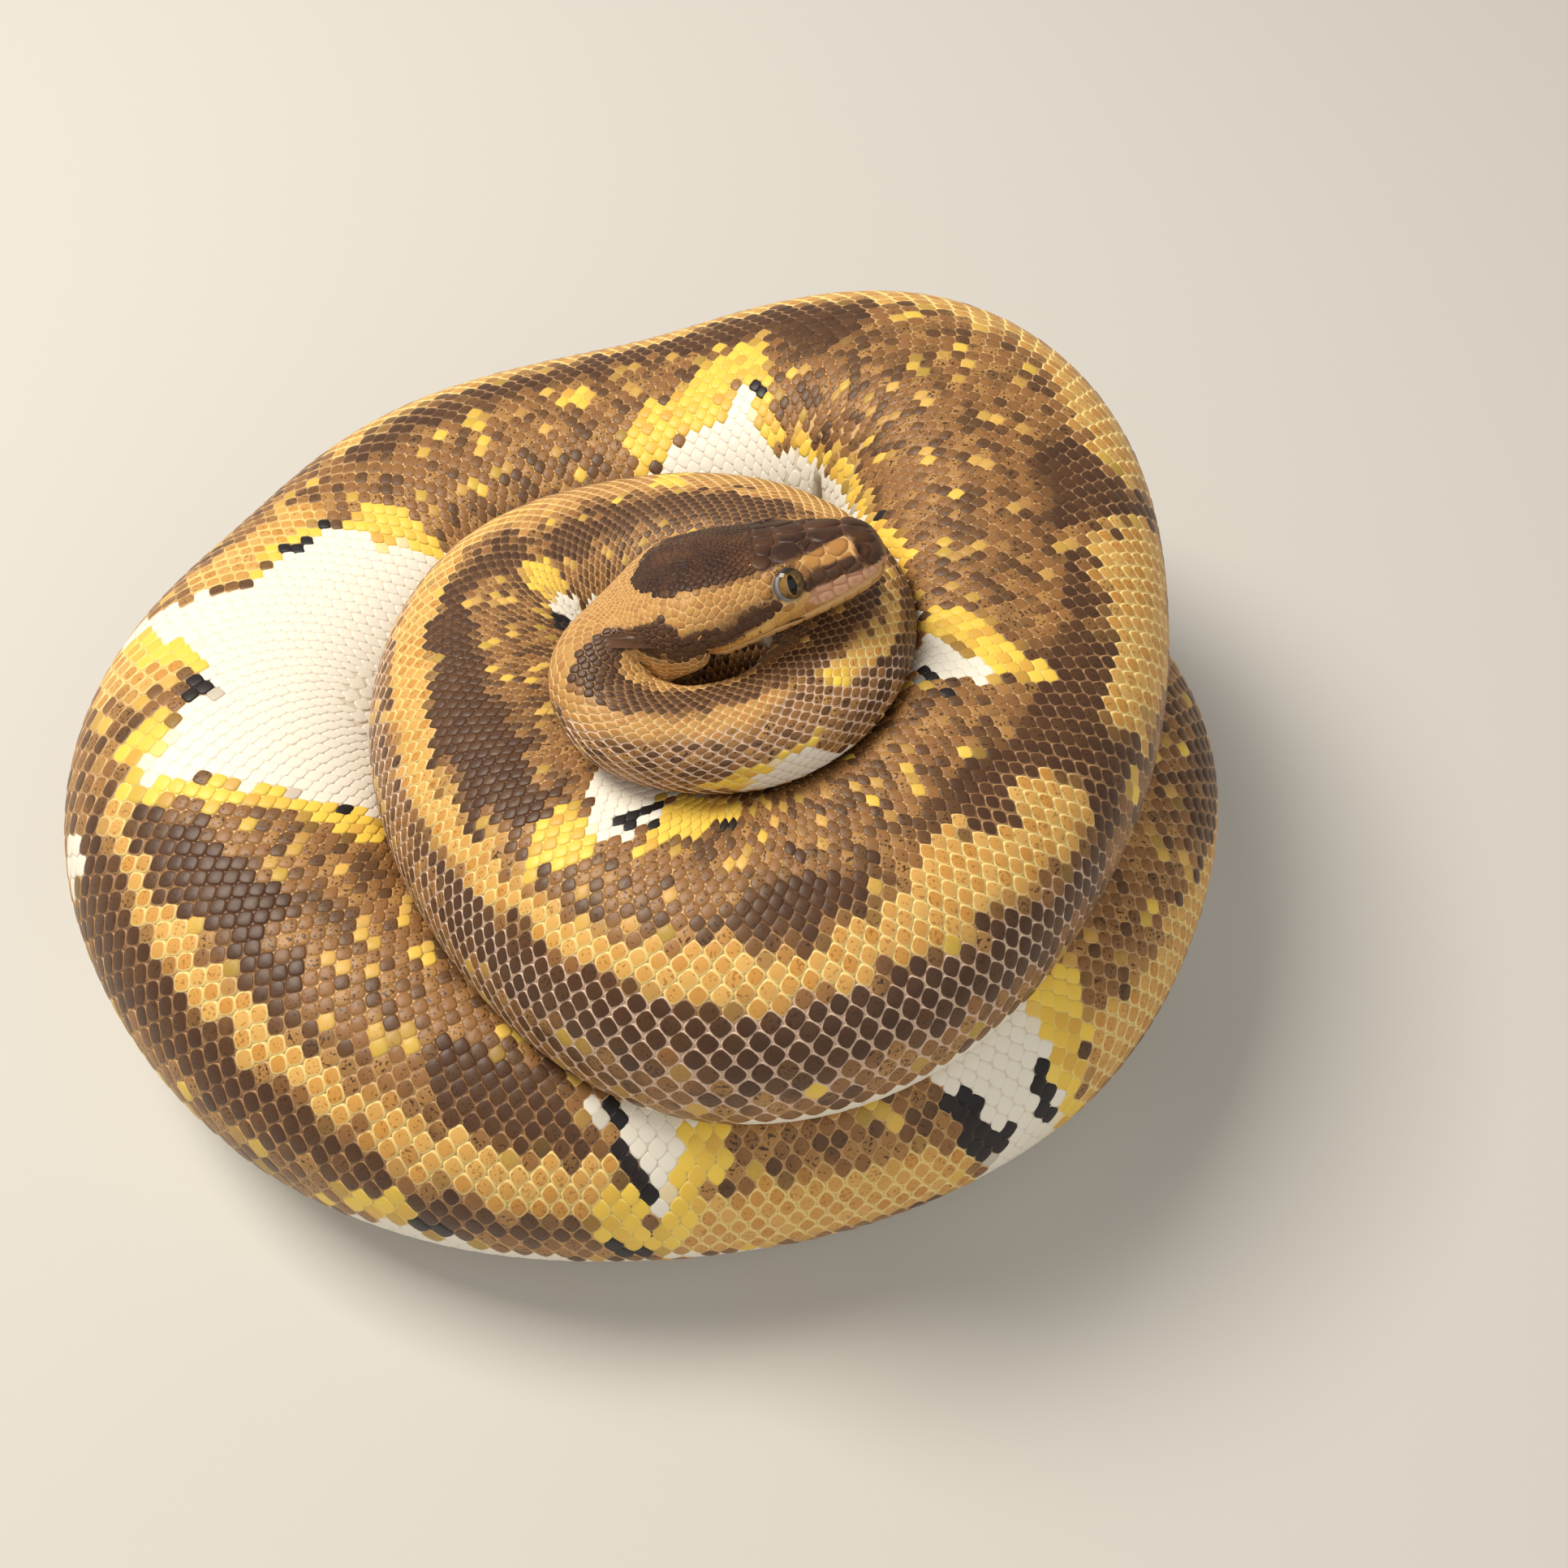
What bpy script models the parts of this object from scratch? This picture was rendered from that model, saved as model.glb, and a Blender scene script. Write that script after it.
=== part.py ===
# A ball python resting in a coil, life size: head on top, body in three turns,
# tail tucked in the middle. Numbers are millimetres and degrees unless said otherwise.
import bmesh
import bpy
import numpy as np
from mathutils import Vector

MM = 0.001
SEAM = 0.3            # slit between neighbouring lengths of the body
PRESS = 0.5           # a turn stops this far short of the middle of a contact
AROUND = 22           # facets round the body
FLATNESS = 0.86       # height of the body over its width
SQUARENESS = 2.25     # 2 is an ellipse, more is squarer
INSIDE_BEND = 0.80    # skin on the inside of a bend reaches this share of the bend radius

# head: where the snout ends and which way it looks
SNOUT = (42.1, -10.8, 111.0)
HEAD_TURN = 12.0      # to the left of +X
HEAD_LIFT = 13.0      # snout above the nape
HEAD_ROLL = 21.0      # right cheek turned up
# back from the snout, half width, height above and depth below the head axis
HEAD_PROFILE = (
    (0.0, 2.0, 0.2, 3.2),
    (0.7, 3.9, 2.4, 4.5),
    (2.0, 5.5, 3.5, 5.5),
    (4.0, 6.8, 4.5, 6.3),
    (7.0, 7.8, 5.3, 6.9),
    (11.0, 8.9, 6.1, 7.3),
    (16.0, 10.3, 6.9, 7.5),
    (20.0, 11.5, 7.7, 7.7),
    (25.0, 13.0, 8.4, 7.9),
    (30.0, 14.1, 8.7, 8.1),
    (34.0, 14.4, 8.6, 8.2),
    (38.0, 13.5, 8.3, 8.1),
    (42.0, 12.0, 8.0, 7.9),
    (47.0, 10.3, 7.9, 7.9),
    (53.0, 9.4, 8.0, 8.0),
)
CROWN_SQUARENESS = 2.5
THROAT_SQUARENESS = 2.3
HEAD_ENDS = 40.0      # the head shape fades into the body shape from here
HEAD_FADES = 22.0
# mouth slit: back from the snout, height on the head axis
MOUTH = ((-4.0, -2.6), (3.0, -2.9), (10.0, -3.8), (18.0, -4.4), (26.0, -4.6), (31.0, -4.3))
EYE_RADIUS = 3.0
EYE_BACK = 16.4
EYE_OUT = 8.1
EYE_UP = 2.2

# the coil, from nape to tail tip, round one upright axis:
# angle, distance from the axis, height of the body's centre, half width
COIL_AXIS = (14.3, -13.5)
COIL = {
    "nape and neck loop": (
        (-147, 16.5, 98.2, 9.2),
        (-142, 23.5, 98.0, 8.8),
        (-120, 27.5, 96.2, 8.8),
        (-90, 25.5, 94.6, 9.2),
        (-60, 23.6, 92.6, 10.6),
        (-30, 22.6, 90.8, 11.8),
        (0, 22.6, 88.6, 12.8),
        (30, 23.2, 86.0, 13.8),
        (60, 24.6, 82.6, 14.8),
    ),
    "upper turn": (
        (90, 28.6, 77.0, 16.8),
        (120, 34.2, 70.0, 20.2),
        (150, 40.4, 65.4, 24.2),
        (180, 37.8, 63.2, 26.6),
        (210, 35.5, 63.0, 27.8),
        (240, 38.4, 64.0, 29.0),
        (270, 47.2, 64.2, 30.4),
        (300, 47.2, 64.8, 31.0),
        (330, 44.8, 65.6, 31.0),
        (360, 49.5, 65.8, 31.0),
        (390, 61.6, 65.8, 31.0),
        (408, 76.2, 64.6, 31.0),
        (424, 85.6, 61.2, 31.0),
        (440, 83.2, 53.6, 30.8),
    ),
    "lower turn": (
        (456, 79.0, 46.4, 31.0),
        (473, 82.8, 40.6, 32.4),
        (491, 88.6, 35.4, 34.6),
        (508, 88.4, 30.8, 35.4),
        (525, 92.6, 30.6, 36.2),
        (540, 91.0, 31.0, 36.6),
        (555, 84.2, 30.0, 35.6),
        (570, 77.0, 29.0, 34.4),
        (585, 68.4, 28.0, 33.2),
        (600, 60.8, 27.2, 32.4),
        (630, 52.0, 26.6, 31.6),
        (660, 52.5, 26.0, 30.8),
        (690, 59.2, 25.4, 30.4),
        (720, 67.4, 25.0, 29.8),
        (738, 73.6, 24.6, 29.2),
    ),
    "inner turn": (
        (757, 72.0, 24.0, 28.6),
        (780, 62.4, 22.8, 27.2),
        (810, 55.0, 20.8, 25.0),
        (840, 51.0, 19.4, 23.2),
        (870, 47.6, 18.4, 22.2),
        (900, 43.2, 17.4, 21.0),
        (930, 38.4, 16.4, 19.6),
        (960, 32.4, 15.2, 18.4),
    ),
    "tail": (
        (990, 26.8, 14.0, 17.0),
        (1020, 22.2, 12.6, 15.4),
        (1060, 18.0, 11.0, 13.4),
        (1100, 15.0, 9.4, 11.6),
        (1150, 13.2, 7.8, 9.8),
        (1210, 11.2, 6.2, 7.8),
        (1275, 8.4, 4.2, 5.8),
        (1350, 6.6, 2.2, 3.4),
    ),
}
NECK_EASING = 4.0     # how far the path is smoothed along the neck
TRUNK_EASING = 10.0   # and along the trunk
# how far the back leans, by distance from the snout; + is to the animal's left
LEAN = (
    (0.0, 21.0), (36.0, 21.0), (60.0, 34.0), (90.0, 50.0), (130.0, 44.0), (200.0, 16.0),
    (300.0, -16.0), (420.0, -18.0), (700.0, -10.0), (1000.0, -5.0), (1200.0, 0.0),
)

# lengths the animal is divided into, by distance from the snout
HEAD_LENGTH = 44.0
NECK_ENDS = 150.0
TRUNK_ENDS = 1070.0
NECK_LENGTHS = 3
TRUNK_LENGTHS = 10
TAIL_LENGTHS = 2
HEAD_RINGS = (0.0, 0.7, 1.8, 3.5, 5.5, 8.0, 11.0, 14.0, 17.0, 20.5, 24.5, 28.5, 32.5, 36.0, 40.0)
NECK_RING = 4.1
TRUNK_RING = 8.2
TAIL_RING = 6.5

COLOURS = {
    "head": (0.16, 0.09, 0.05),
    "lower_jaw": (0.62, 0.48, 0.27),
    "eye": (0.05, 0.045, 0.03),
    "neck": (0.36, 0.22, 0.10),
    "trunk": (0.42, 0.26, 0.11),
    "tail": (0.46, 0.31, 0.15),
}


def fresh_collections():
    for ob in list(bpy.data.objects):
        bpy.data.objects.remove(ob, do_unlink=True)
    homes = {}
    for label in ("ball_python", "cutters"):
        homes[label] = bpy.data.collections.new(label)
        bpy.context.scene.collection.children.link(homes[label])
    stand = bpy.data.objects.new("floor_under_coil", None)
    homes["ball_python"].objects.link(stand)
    return homes, stand


def head_axes():
    turn, lift, roll = np.radians((HEAD_TURN, HEAD_LIFT, HEAD_ROLL))
    ahead = np.array([np.cos(turn) * np.cos(lift), np.sin(turn) * np.cos(lift), np.sin(lift)])
    up = np.array([0.0, 0.0, 1.0])
    up -= up.dot(ahead) * ahead
    up /= np.linalg.norm(up)
    right = np.cross(ahead, up)
    leaned_up = up * np.cos(roll) - right * np.sin(roll)
    leaned_right = right * np.cos(roll) + up * np.sin(roll)
    return ahead, leaned_right, leaned_up


def on_head(back, right, up):
    ahead, side, top = head_axes()
    return np.array(SNOUT) - ahead * back + side * right + top * up


def stations():
    rows = [[*on_head(back, 0.0, 0.0), 10.0] for back in (0, 6, 12, 18, 24, 30, 34)]
    for turn in COIL.values():
        for angle, out, height, half in turn:
            way = np.radians(angle)
            rows.append([COIL_AXIS[0] + out * np.cos(way), COIL_AXIS[1] + out * np.sin(way), height, half])
    return np.array(rows)


def smooth_curve(rows, pieces=16):
    ends = np.vstack([2 * rows[0] - rows[1], rows, 2 * rows[-1] - rows[-2]])
    share = (np.arange(pieces) / pieces)[:, None]
    out = []
    for i in range(1, len(ends) - 2):
        a, b, c, d = ends[i - 1:i + 3]
        cubic = 2 * a - 5 * b + 4 * c - d
        out.append(0.5 * (2 * b + (c - a) * share + cubic * share ** 2 + (3 * b - a - 3 * c + d) * share ** 3))
    out.append(rows[-1][None])
    return np.vstack(out)


def eased(rows, reach_of):
    # a soft average along the body, over that many millimetres
    reach = int(3 * reach_of)
    weight = np.exp(-0.5 * (np.arange(-reach, reach + 1) / reach_of) ** 2)
    weight /= weight.sum()
    before = 2 * rows[0] - rows[reach:0:-1]
    after = 2 * rows[-1] - rows[-2:-reach - 2:-1]
    padded = np.vstack([before, rows, after])
    return np.stack([np.convolve(padded[:, c], weight, "valid") for c in range(4)], 1)


def body_path():
    curve = smooth_curve(stations())
    run = np.r_[0, np.cumsum(np.linalg.norm(np.diff(curve[:, :3], axis=0), axis=1))]
    along = np.linspace(0, run[-1], int(run[-1]) + 1)
    even = np.stack([np.interp(along, run, curve[:, c]) for c in range(4)], 1)
    neck = np.clip((along - 26) / 18, 0, 1)[:, None]
    trunk = np.clip((along - 150) / 60, 0, 1)[:, None]
    loop = even * (1 - neck) + eased(even, NECK_EASING) * neck
    return along, loop * (1 - trunk) + eased(even, TRUNK_EASING) * trunk


def blend(value):
    value = np.clip(value, 0, 1)
    return value * value * (3 - 2 * value)


def frames(at, along, path):
    centre = np.stack([np.interp(at, along, path[:, c]) for c in range(3)], 1)
    fore = np.stack([np.interp(at + 0.5, along, path[:, c]) for c in range(3)], 1)
    aft = np.stack([np.interp(at - 0.5, along, path[:, c]) for c in range(3)], 1)
    tangent = fore - aft
    tangent /= np.linalg.norm(tangent, axis=1)[:, None]
    up = np.array([0.0, 0.0, 1.0]) - tangent[:, 2:] * tangent
    up /= np.linalg.norm(up, axis=1)[:, None]
    return centre, tangent, up, np.cross(tangent, up)


def sections(at, along, path):
    centre, tangent, up, side = frames(at, along, path)
    half = np.interp(at, along, path[:, 3])
    table = np.array(LEAN)
    lean = np.radians(np.interp(at, table[:, 0], table[:, 1]))
    phi = np.linspace(0, 2 * np.pi, AROUND, endpoint=False)[None]
    theta = phi + lean[:, None]
    p = SQUARENESS
    wide = np.abs(np.sin(theta)) ** p + np.abs(np.cos(theta) / FLATNESS) ** p
    body = half[:, None] * wide ** (-1 / p)
    rows = np.array(HEAD_PROFILE)
    width, top, base = (np.interp(at, rows[:, 0], rows[:, c])[:, None] for c in (1, 2, 3))
    q = np.where(np.cos(phi) > 0, CROWN_SQUARENESS, THROAT_SQUARENESS)
    tall = (top + base) / 2
    head = (np.abs(np.sin(phi)) ** q / width ** q + np.abs(np.cos(phi)) ** q / tall ** q) ** (-1 / q)
    share = blend((at - HEAD_ENDS) / HEAD_FADES)[:, None]
    radius = head * (1 - share) + body * share
    back = np.cos(lean)[:, None] * up + np.sin(lean)[:, None] * side
    centre = centre + (top - base) / 2 * (1 - share) * back
    spoke = np.sin(theta)[..., None] * side[:, None] + np.cos(theta)[..., None] * up[:, None]
    return centre, tangent, half, radius, spoke


def room(points, where, clear, path, along, reach):
    # distance from each point to the nearest other turn, less than nothing inside it
    best = np.full(len(points), 99.0)
    squash = np.array([1.0, 1.0, 1.0 / FLATNESS])
    turns = path[:, :3] * squash
    for i in range(0, len(points), 3000):
        far = np.linalg.norm((points[i:i + 3000] * squash)[:, None] - turns[None], axis=2) - reach
        far[np.abs(where[i:i + 3000, None] - along[None]) < clear[i:i + 3000, None]] = 99.0
        best[i:i + 3000] = far.min(1)
    return best


def pressed_rings(at, along, path):
    # each spoke is shortened where the next turn presses, inside a bend, and on the floor
    centre, tangent, half, radius, spoke = sections(at, along, path)
    rows = np.array(HEAD_PROFILE)
    thin, where = path[::3], along[::3]
    is_head = 1 - blend((where - HEAD_ENDS) / HEAD_FADES)
    reach = np.interp(where, rows[:, 0], rows[:, 1]) * is_head + thin[:, 3] * (1 - is_head)
    start = np.repeat(centre, AROUND, 0)
    ray = (radius[..., None] * spoke).reshape(-1, 3)
    place = np.repeat(at, AROUND)
    own = np.interp(place, where, reach)
    clear = 3.2 * own + 8
    length = np.linalg.norm(ray * np.array([1.0, 1.0, 1.0 / FLATNESS]), axis=1)
    bend = np.gradient(tangent, at, axis=0)
    inward = (ray.reshape(len(at), AROUND, 3) * bend[:, None]).sum(2).ravel()
    share = np.minimum(1.0, INSIDE_BEND / np.maximum(inward, 1e-6))
    touch = room(start + ray, place, clear, thin, where, reach) < length - own + PRESS
    low = np.full(touch.sum(), 0.15)
    high = np.ones(touch.sum())
    for _ in range(10):
        middle = (low + high) / 2
        tip = start[touch] + middle[:, None] * ray[touch]
        left = room(tip, place[touch], clear[touch], thin, where, reach)
        free = middle * length[touch] - own[touch] <= left - PRESS
        low = np.where(free, middle, low)
        high = np.where(free, high, middle)
    share[touch] = np.minimum(share[touch], low)
    rings = start + share[:, None] * ray
    rings[:, 2] = np.maximum(rings[:, 2], 0.0)
    return rings.reshape(len(at), AROUND, 3), tangent


def ring_places(start, end, step):
    return list(np.linspace(start, end, max(2, int(round((end - start) / step)) + 1)))


def lengths(total):
    cuts = [("head", 0.0, HEAD_LENGTH, 0.0)]
    plan = (
        ("neck", HEAD_LENGTH, NECK_ENDS, NECK_LENGTHS, NECK_RING),
        ("trunk", NECK_ENDS, TRUNK_ENDS, TRUNK_LENGTHS, TRUNK_RING),
        ("tail", TRUNK_ENDS, total - 0.6, TAIL_LENGTHS, TAIL_RING),
    )
    for label, start, end, count, step in plan:
        marks = np.linspace(start, end, count + 1)
        for i in range(count):
            cuts.append((f"{label}_{i + 1:02d}", marks[i], marks[i + 1], step))
    return cuts


def loft(name, rings, home):
    # skin a row of closed rings and close both ends
    count, around, _ = rings.shape
    bm = bmesh.new()
    grid = [[bm.verts.new(Vector(p) * MM) for p in ring] for ring in rings]
    for i in range(count - 1):
        for j in range(around):
            k = (j + 1) % around
            bm.faces.new((grid[i][j], grid[i][k], grid[i + 1][k], grid[i + 1][j]))
    bm.faces.new(grid[0][::-1])
    bm.faces.new(grid[-1])
    bmesh.ops.triangulate(bm, faces=[f for f in bm.faces if len(f.verts) > 4])
    bmesh.ops.recalc_face_normals(bm, faces=bm.faces)
    mesh = bpy.data.meshes.new(name)
    bm.to_mesh(mesh)
    bm.free()
    mesh.shade_smooth()
    mesh.set_sharp_from_angle(angle=np.radians(40))
    ob = bpy.data.objects.new(name, mesh)
    home.objects.link(ob)
    return ob


def paint(ob, tone):
    mat = bpy.data.materials.new(ob.name + "_colour")
    mat.use_nodes = True
    shader = mat.node_tree.nodes["Principled BSDF"]
    shader.inputs["Base Color"].default_value = (*COLOURS[tone], 1.0)
    shader.inputs["Roughness"].default_value = 0.2 if tone == "eye" else 0.5
    ob.data.materials.append(mat)


def ball(name, centre, radius, home):
    bm = bmesh.new()
    bmesh.ops.create_uvsphere(bm, u_segments=16, v_segments=10, radius=radius * MM)
    mesh = bpy.data.meshes.new(name)
    bm.to_mesh(mesh)
    bm.free()
    mesh.shade_smooth()
    ob = bpy.data.objects.new(name, mesh)
    ob.location = Vector(centre) * MM
    home.objects.link(ob)
    return ob


def as_cutter(ob):
    ob.hide_render = True
    ob.display_type = "WIRE"
    return ob


def jaw_block(name, grow, home):
    # everything under the mouth slit, from the chin to the corner of the mouth
    wide, deep = 22.0, -16.0
    profile = [(back, up + grow) for back, up in MOUTH]
    profile[-1] = (MOUTH[-1][0] + grow, profile[-1][1])
    profile += [(MOUTH[-1][0] + grow, deep), (MOUTH[0][0], deep)]
    rings = np.array([[on_head(back, side, up) for back, up in profile] for side in (-wide, wide)])
    return as_cutter(loft(name, rings, home))


def cut(ob, tool, operation, label):
    mod = ob.modifiers.new(label, "BOOLEAN")
    mod.operation = operation
    mod.object = tool
    mod.solver = "EXACT"


def build_head(rings, homes):
    head = loft("head", rings, homes["ball_python"])
    jaw = loft("lower_jaw", rings, homes["ball_python"])
    cut(head, jaw_block("mouth_slit_upper", SEAM / 2, homes["cutters"]), "DIFFERENCE", "mouth")
    cut(jaw, jaw_block("mouth_slit_lower", -SEAM / 2, homes["cutters"]), "INTERSECT", "mouth")
    for label, side in (("left", -1), ("right", 1)):
        centre = on_head(EYE_BACK, side * EYE_OUT, EYE_UP)
        socket = as_cutter(ball(f"socket_{label}", centre, EYE_RADIUS + SEAM, homes["cutters"]))
        cut(head, socket, "DIFFERENCE", f"socket_{label}")
        paint(ball(f"eye_{label}", centre, EYE_RADIUS, homes["ball_python"]), "eye")
    paint(head, "head")
    paint(jaw, "lower_jaw")


def main():
    homes, stand = fresh_collections()
    along, path = body_path()
    plan = lengths(along[-1])
    places = []
    for name, start, end, step in plan:
        places.append([*HEAD_RINGS, end] if name == "head" else ring_places(start, end, step))
    rings, tangent = pressed_rings(np.array(sorted(set(sum(places, [])))), along, path)
    first = 0
    for i, ((name, _, _, _), at) in enumerate(zip(plan, places)):
        own = rings[first:first + len(at)].copy()
        if i > 0:
            own[0] += tangent[first] * SEAM / 2
        first += len(at) - 1
        if i < len(plan) - 1:
            own[-1] -= tangent[first] * SEAM / 2
        own[..., 2] = np.maximum(own[..., 2], 0.0)
        if name == "head":
            build_head(own, homes)
        else:
            paint(loft(name, own, homes["ball_python"]), name.split("_")[0])
    for ob in homes["ball_python"].objects:
        if ob is not stand:
            ob.parent = stand


main()
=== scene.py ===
# A ball python at rest in its coil: one skin, its scales and plates over it, and two eyes.
# Lengths are millimetres. "run" is how far back from the snout, "turn" the angle round the body
# in degrees, 0 along the back and + towards the animal's left.
import bpy
import numpy as np
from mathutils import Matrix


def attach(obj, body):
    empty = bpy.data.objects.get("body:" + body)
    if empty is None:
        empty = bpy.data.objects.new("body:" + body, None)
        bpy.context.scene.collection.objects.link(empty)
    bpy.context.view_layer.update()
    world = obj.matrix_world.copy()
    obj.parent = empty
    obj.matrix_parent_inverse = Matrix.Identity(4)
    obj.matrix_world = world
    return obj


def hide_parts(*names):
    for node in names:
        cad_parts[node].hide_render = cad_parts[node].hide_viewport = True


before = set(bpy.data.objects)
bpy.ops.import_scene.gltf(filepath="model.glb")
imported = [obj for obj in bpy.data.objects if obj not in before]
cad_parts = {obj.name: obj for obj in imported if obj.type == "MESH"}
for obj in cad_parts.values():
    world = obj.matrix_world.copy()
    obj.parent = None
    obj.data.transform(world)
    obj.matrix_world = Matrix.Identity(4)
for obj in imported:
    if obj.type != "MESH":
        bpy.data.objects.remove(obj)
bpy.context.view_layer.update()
mm = 0.001
farOff = 99.0  # more millimetres than any distance that matters here
print("solids loaded")

# the lie of the animal
headShape = {
    "snout": (42.1, -10.8, 111.0), "turned": 12.0, "lifted": 13.0, "rolled": 21.0,
    "crown": 2.5, "throat": 2.3, "ends": 40.0, "fades": 22.0,
    # back from the snout, half width, height above and depth below the head's axis
    "profile": (
        (0.0, 2.0, 0.2, 3.2), (0.7, 3.9, 2.4, 4.5), (2.0, 5.5, 3.5, 5.5), (4.0, 6.8, 4.5, 6.3),
        (7.0, 7.8, 5.3, 6.9), (11.0, 8.9, 6.1, 7.3), (16.0, 10.3, 6.9, 7.5), (20.0, 11.5, 7.7, 7.7),
        (25.0, 13.0, 8.4, 7.9), (30.0, 14.1, 8.7, 8.1), (34.0, 14.4, 8.6, 8.2), (38.0, 13.5, 8.3, 8.1),
        (42.0, 12.0, 8.0, 7.9), (47.0, 10.3, 7.9, 7.9), (53.0, 9.4, 8.0, 8.0),
    ),
    # the mouth line: back from the snout, height on the head's axis
    "mouth": ((-4.0, -2.6), (3.0, -2.9), (10.0, -3.8), (18.0, -4.4), (26.0, -4.6), (31.0, -4.3)),
}
coilShape = {
    "axis": (14.3, -13.5), "flatness": 0.86, "square": 2.25, "insideBend": 0.80, "press": 0.5,
    # how far the bends are eased on the neck and the trunk, and from which run, over how long
    "neckEasing": 4.0, "neckEased": (26.0, 18.0), "trunkEasing": 10.0, "trunkEased": (150.0, 60.0),
    # turns closer along the body than this many half widths and millimetres don't press on each other
    "ownReach": (3.2, 8.0), "leastSpoke": 0.15,
    # angle round the axis, distance from it, height of the body's centre, half width
    "stations": (
        (-147, 16.5, 98.2, 9.2), (-142, 23.5, 98.0, 8.8), (-120, 27.5, 96.2, 8.8), (-90, 25.5, 94.6, 9.2),
        (-60, 23.6, 92.6, 10.6), (-30, 22.6, 90.8, 11.8), (0, 22.6, 88.6, 12.8), (30, 23.2, 86.0, 13.8),
        (60, 24.6, 82.6, 14.8), (90, 28.6, 77.0, 16.8), (120, 34.2, 70.0, 20.2), (150, 40.4, 65.4, 24.2),
        (180, 37.8, 63.2, 26.6), (210, 35.5, 63.0, 27.8), (240, 38.4, 64.0, 29.0), (270, 47.2, 64.2, 30.4),
        (300, 47.2, 64.8, 31.0), (330, 44.8, 65.6, 31.0), (360, 49.5, 65.8, 31.0), (390, 61.6, 65.8, 31.0),
        (408, 76.2, 64.6, 31.0), (424, 85.6, 61.2, 31.0), (440, 83.2, 53.6, 30.8), (456, 79.0, 46.4, 31.0),
        (473, 82.8, 40.6, 32.4), (491, 88.6, 35.4, 34.6), (508, 88.4, 30.8, 35.4), (525, 92.6, 30.6, 36.2),
        (540, 91.0, 31.0, 36.6), (555, 84.2, 30.0, 35.6), (570, 77.0, 29.0, 34.4), (585, 68.4, 28.0, 33.2),
        (600, 60.8, 27.2, 32.4), (630, 52.0, 26.6, 31.6), (660, 52.5, 26.0, 30.8), (690, 59.2, 25.4, 30.4),
        (720, 67.4, 25.0, 29.8), (738, 73.6, 24.6, 29.2), (757, 72.0, 24.0, 28.6), (780, 62.4, 22.8, 27.2),
        (810, 55.0, 20.8, 25.0), (840, 51.0, 19.4, 23.2), (870, 47.6, 18.4, 22.2), (900, 43.2, 17.4, 21.0),
        (930, 38.4, 16.4, 19.6), (960, 32.4, 15.2, 18.4), (990, 26.8, 14.0, 17.0), (1020, 22.2, 12.6, 15.4),
        (1060, 18.0, 11.0, 13.4), (1100, 15.0, 9.4, 11.6), (1150, 13.2, 7.8, 9.8), (1210, 11.2, 6.2, 7.8),
        (1275, 8.4, 4.2, 5.8), (1350, 6.6, 2.2, 3.4),
    ),
    # run, how far the back leans to the left there
    "lean": (
        (0.0, 21.0), (36.0, 21.0), (60.0, 34.0), (90.0, 50.0), (130.0, 44.0), (200.0, 16.0),
        (300.0, -16.0), (420.0, -18.0), (700.0, -10.0), (1000.0, -5.0), (1200.0, 0.0),
    ),
    # and where the rows of scales have it, twisted further at the nape
    "rowLean": (
        (0.0, 21.0), (38.0, 21.0), (44.0, 32.0), (50.0, 60.0), (56.0, 84.0), (60.0, 80.0), (65.0, 71.0),
        (75.0, 58.0), (80.0, 50.0), (90.0, 45.0), (100.0, 40.0), (130.0, 40.0), (200.0, 16.0),
        (300.0, -16.0), (420.0, -18.0), (700.0, -10.0), (1000.0, -5.0), (1200.0, 0.0),
    ),
}


def headAxes():
    turned, lifted, rolled = np.radians([headShape[key] for key in ("turned", "lifted", "rolled")])
    ahead = np.array([np.cos(turned) * np.cos(lifted), np.sin(turned) * np.cos(lifted), np.sin(lifted)])
    up = np.array([0.0, 0.0, 1.0]) - ahead[2] * ahead
    up /= np.linalg.norm(up)
    right = np.cross(ahead, up)
    return ahead, right * np.cos(rolled) + up * np.sin(rolled), up * np.cos(rolled) - right * np.sin(rolled)


headAhead, headRight, headUp = headAxes()


def onHead(back, right, up):
    return np.array(headShape["snout"]) - back * headAhead + right * headRight + up * headUp


def headPlace(points):
    # back from the snout, out to the right, and up, of points in the room
    away = points - np.array(headShape["snout"])
    return -away @ headAhead, away @ headRight, away @ headUp


def stationRows():
    rows = [[*onHead(back, 0.0, 0.0), 10.0] for back in (0, 6, 12, 18, 24, 30, 34)]
    axisX, axisY = coilShape["axis"]
    for angle, out, height, half in coilShape["stations"]:
        way = np.radians(angle)
        rows.append([axisX + out * np.cos(way), axisY + out * np.sin(way), height, half])
    return np.array(rows)


def smoothCurve(rows, pieces=16):
    ends = np.vstack([2 * rows[0] - rows[1], rows, 2 * rows[-1] - rows[-2]])
    share = (np.arange(pieces) / pieces)[:, None]
    out = []
    for i in range(1, len(ends) - 2):
        a, b, c, d = ends[i - 1:i + 3]
        squared = 2 * a - 5 * b + 4 * c - d
        cubed = 3 * b - a - 3 * c + d
        out.append(0.5 * (2 * b + (c - a) * share + squared * share ** 2 + cubed * share ** 3))
    out.append(rows[-1][None])
    return np.vstack(out)


def eased(rows, reachOf):
    reach = int(3 * reachOf)
    weight = np.exp(-0.5 * (np.arange(-reach, reach + 1) / reachOf) ** 2)
    weight /= weight.sum()
    padded = np.vstack([2 * rows[0] - rows[reach:0:-1], rows, 2 * rows[-1] - rows[-2:-reach - 2:-1]])
    return np.stack([np.convolve(padded[:, c], weight, "valid") for c in range(rows.shape[1])], 1)


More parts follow.
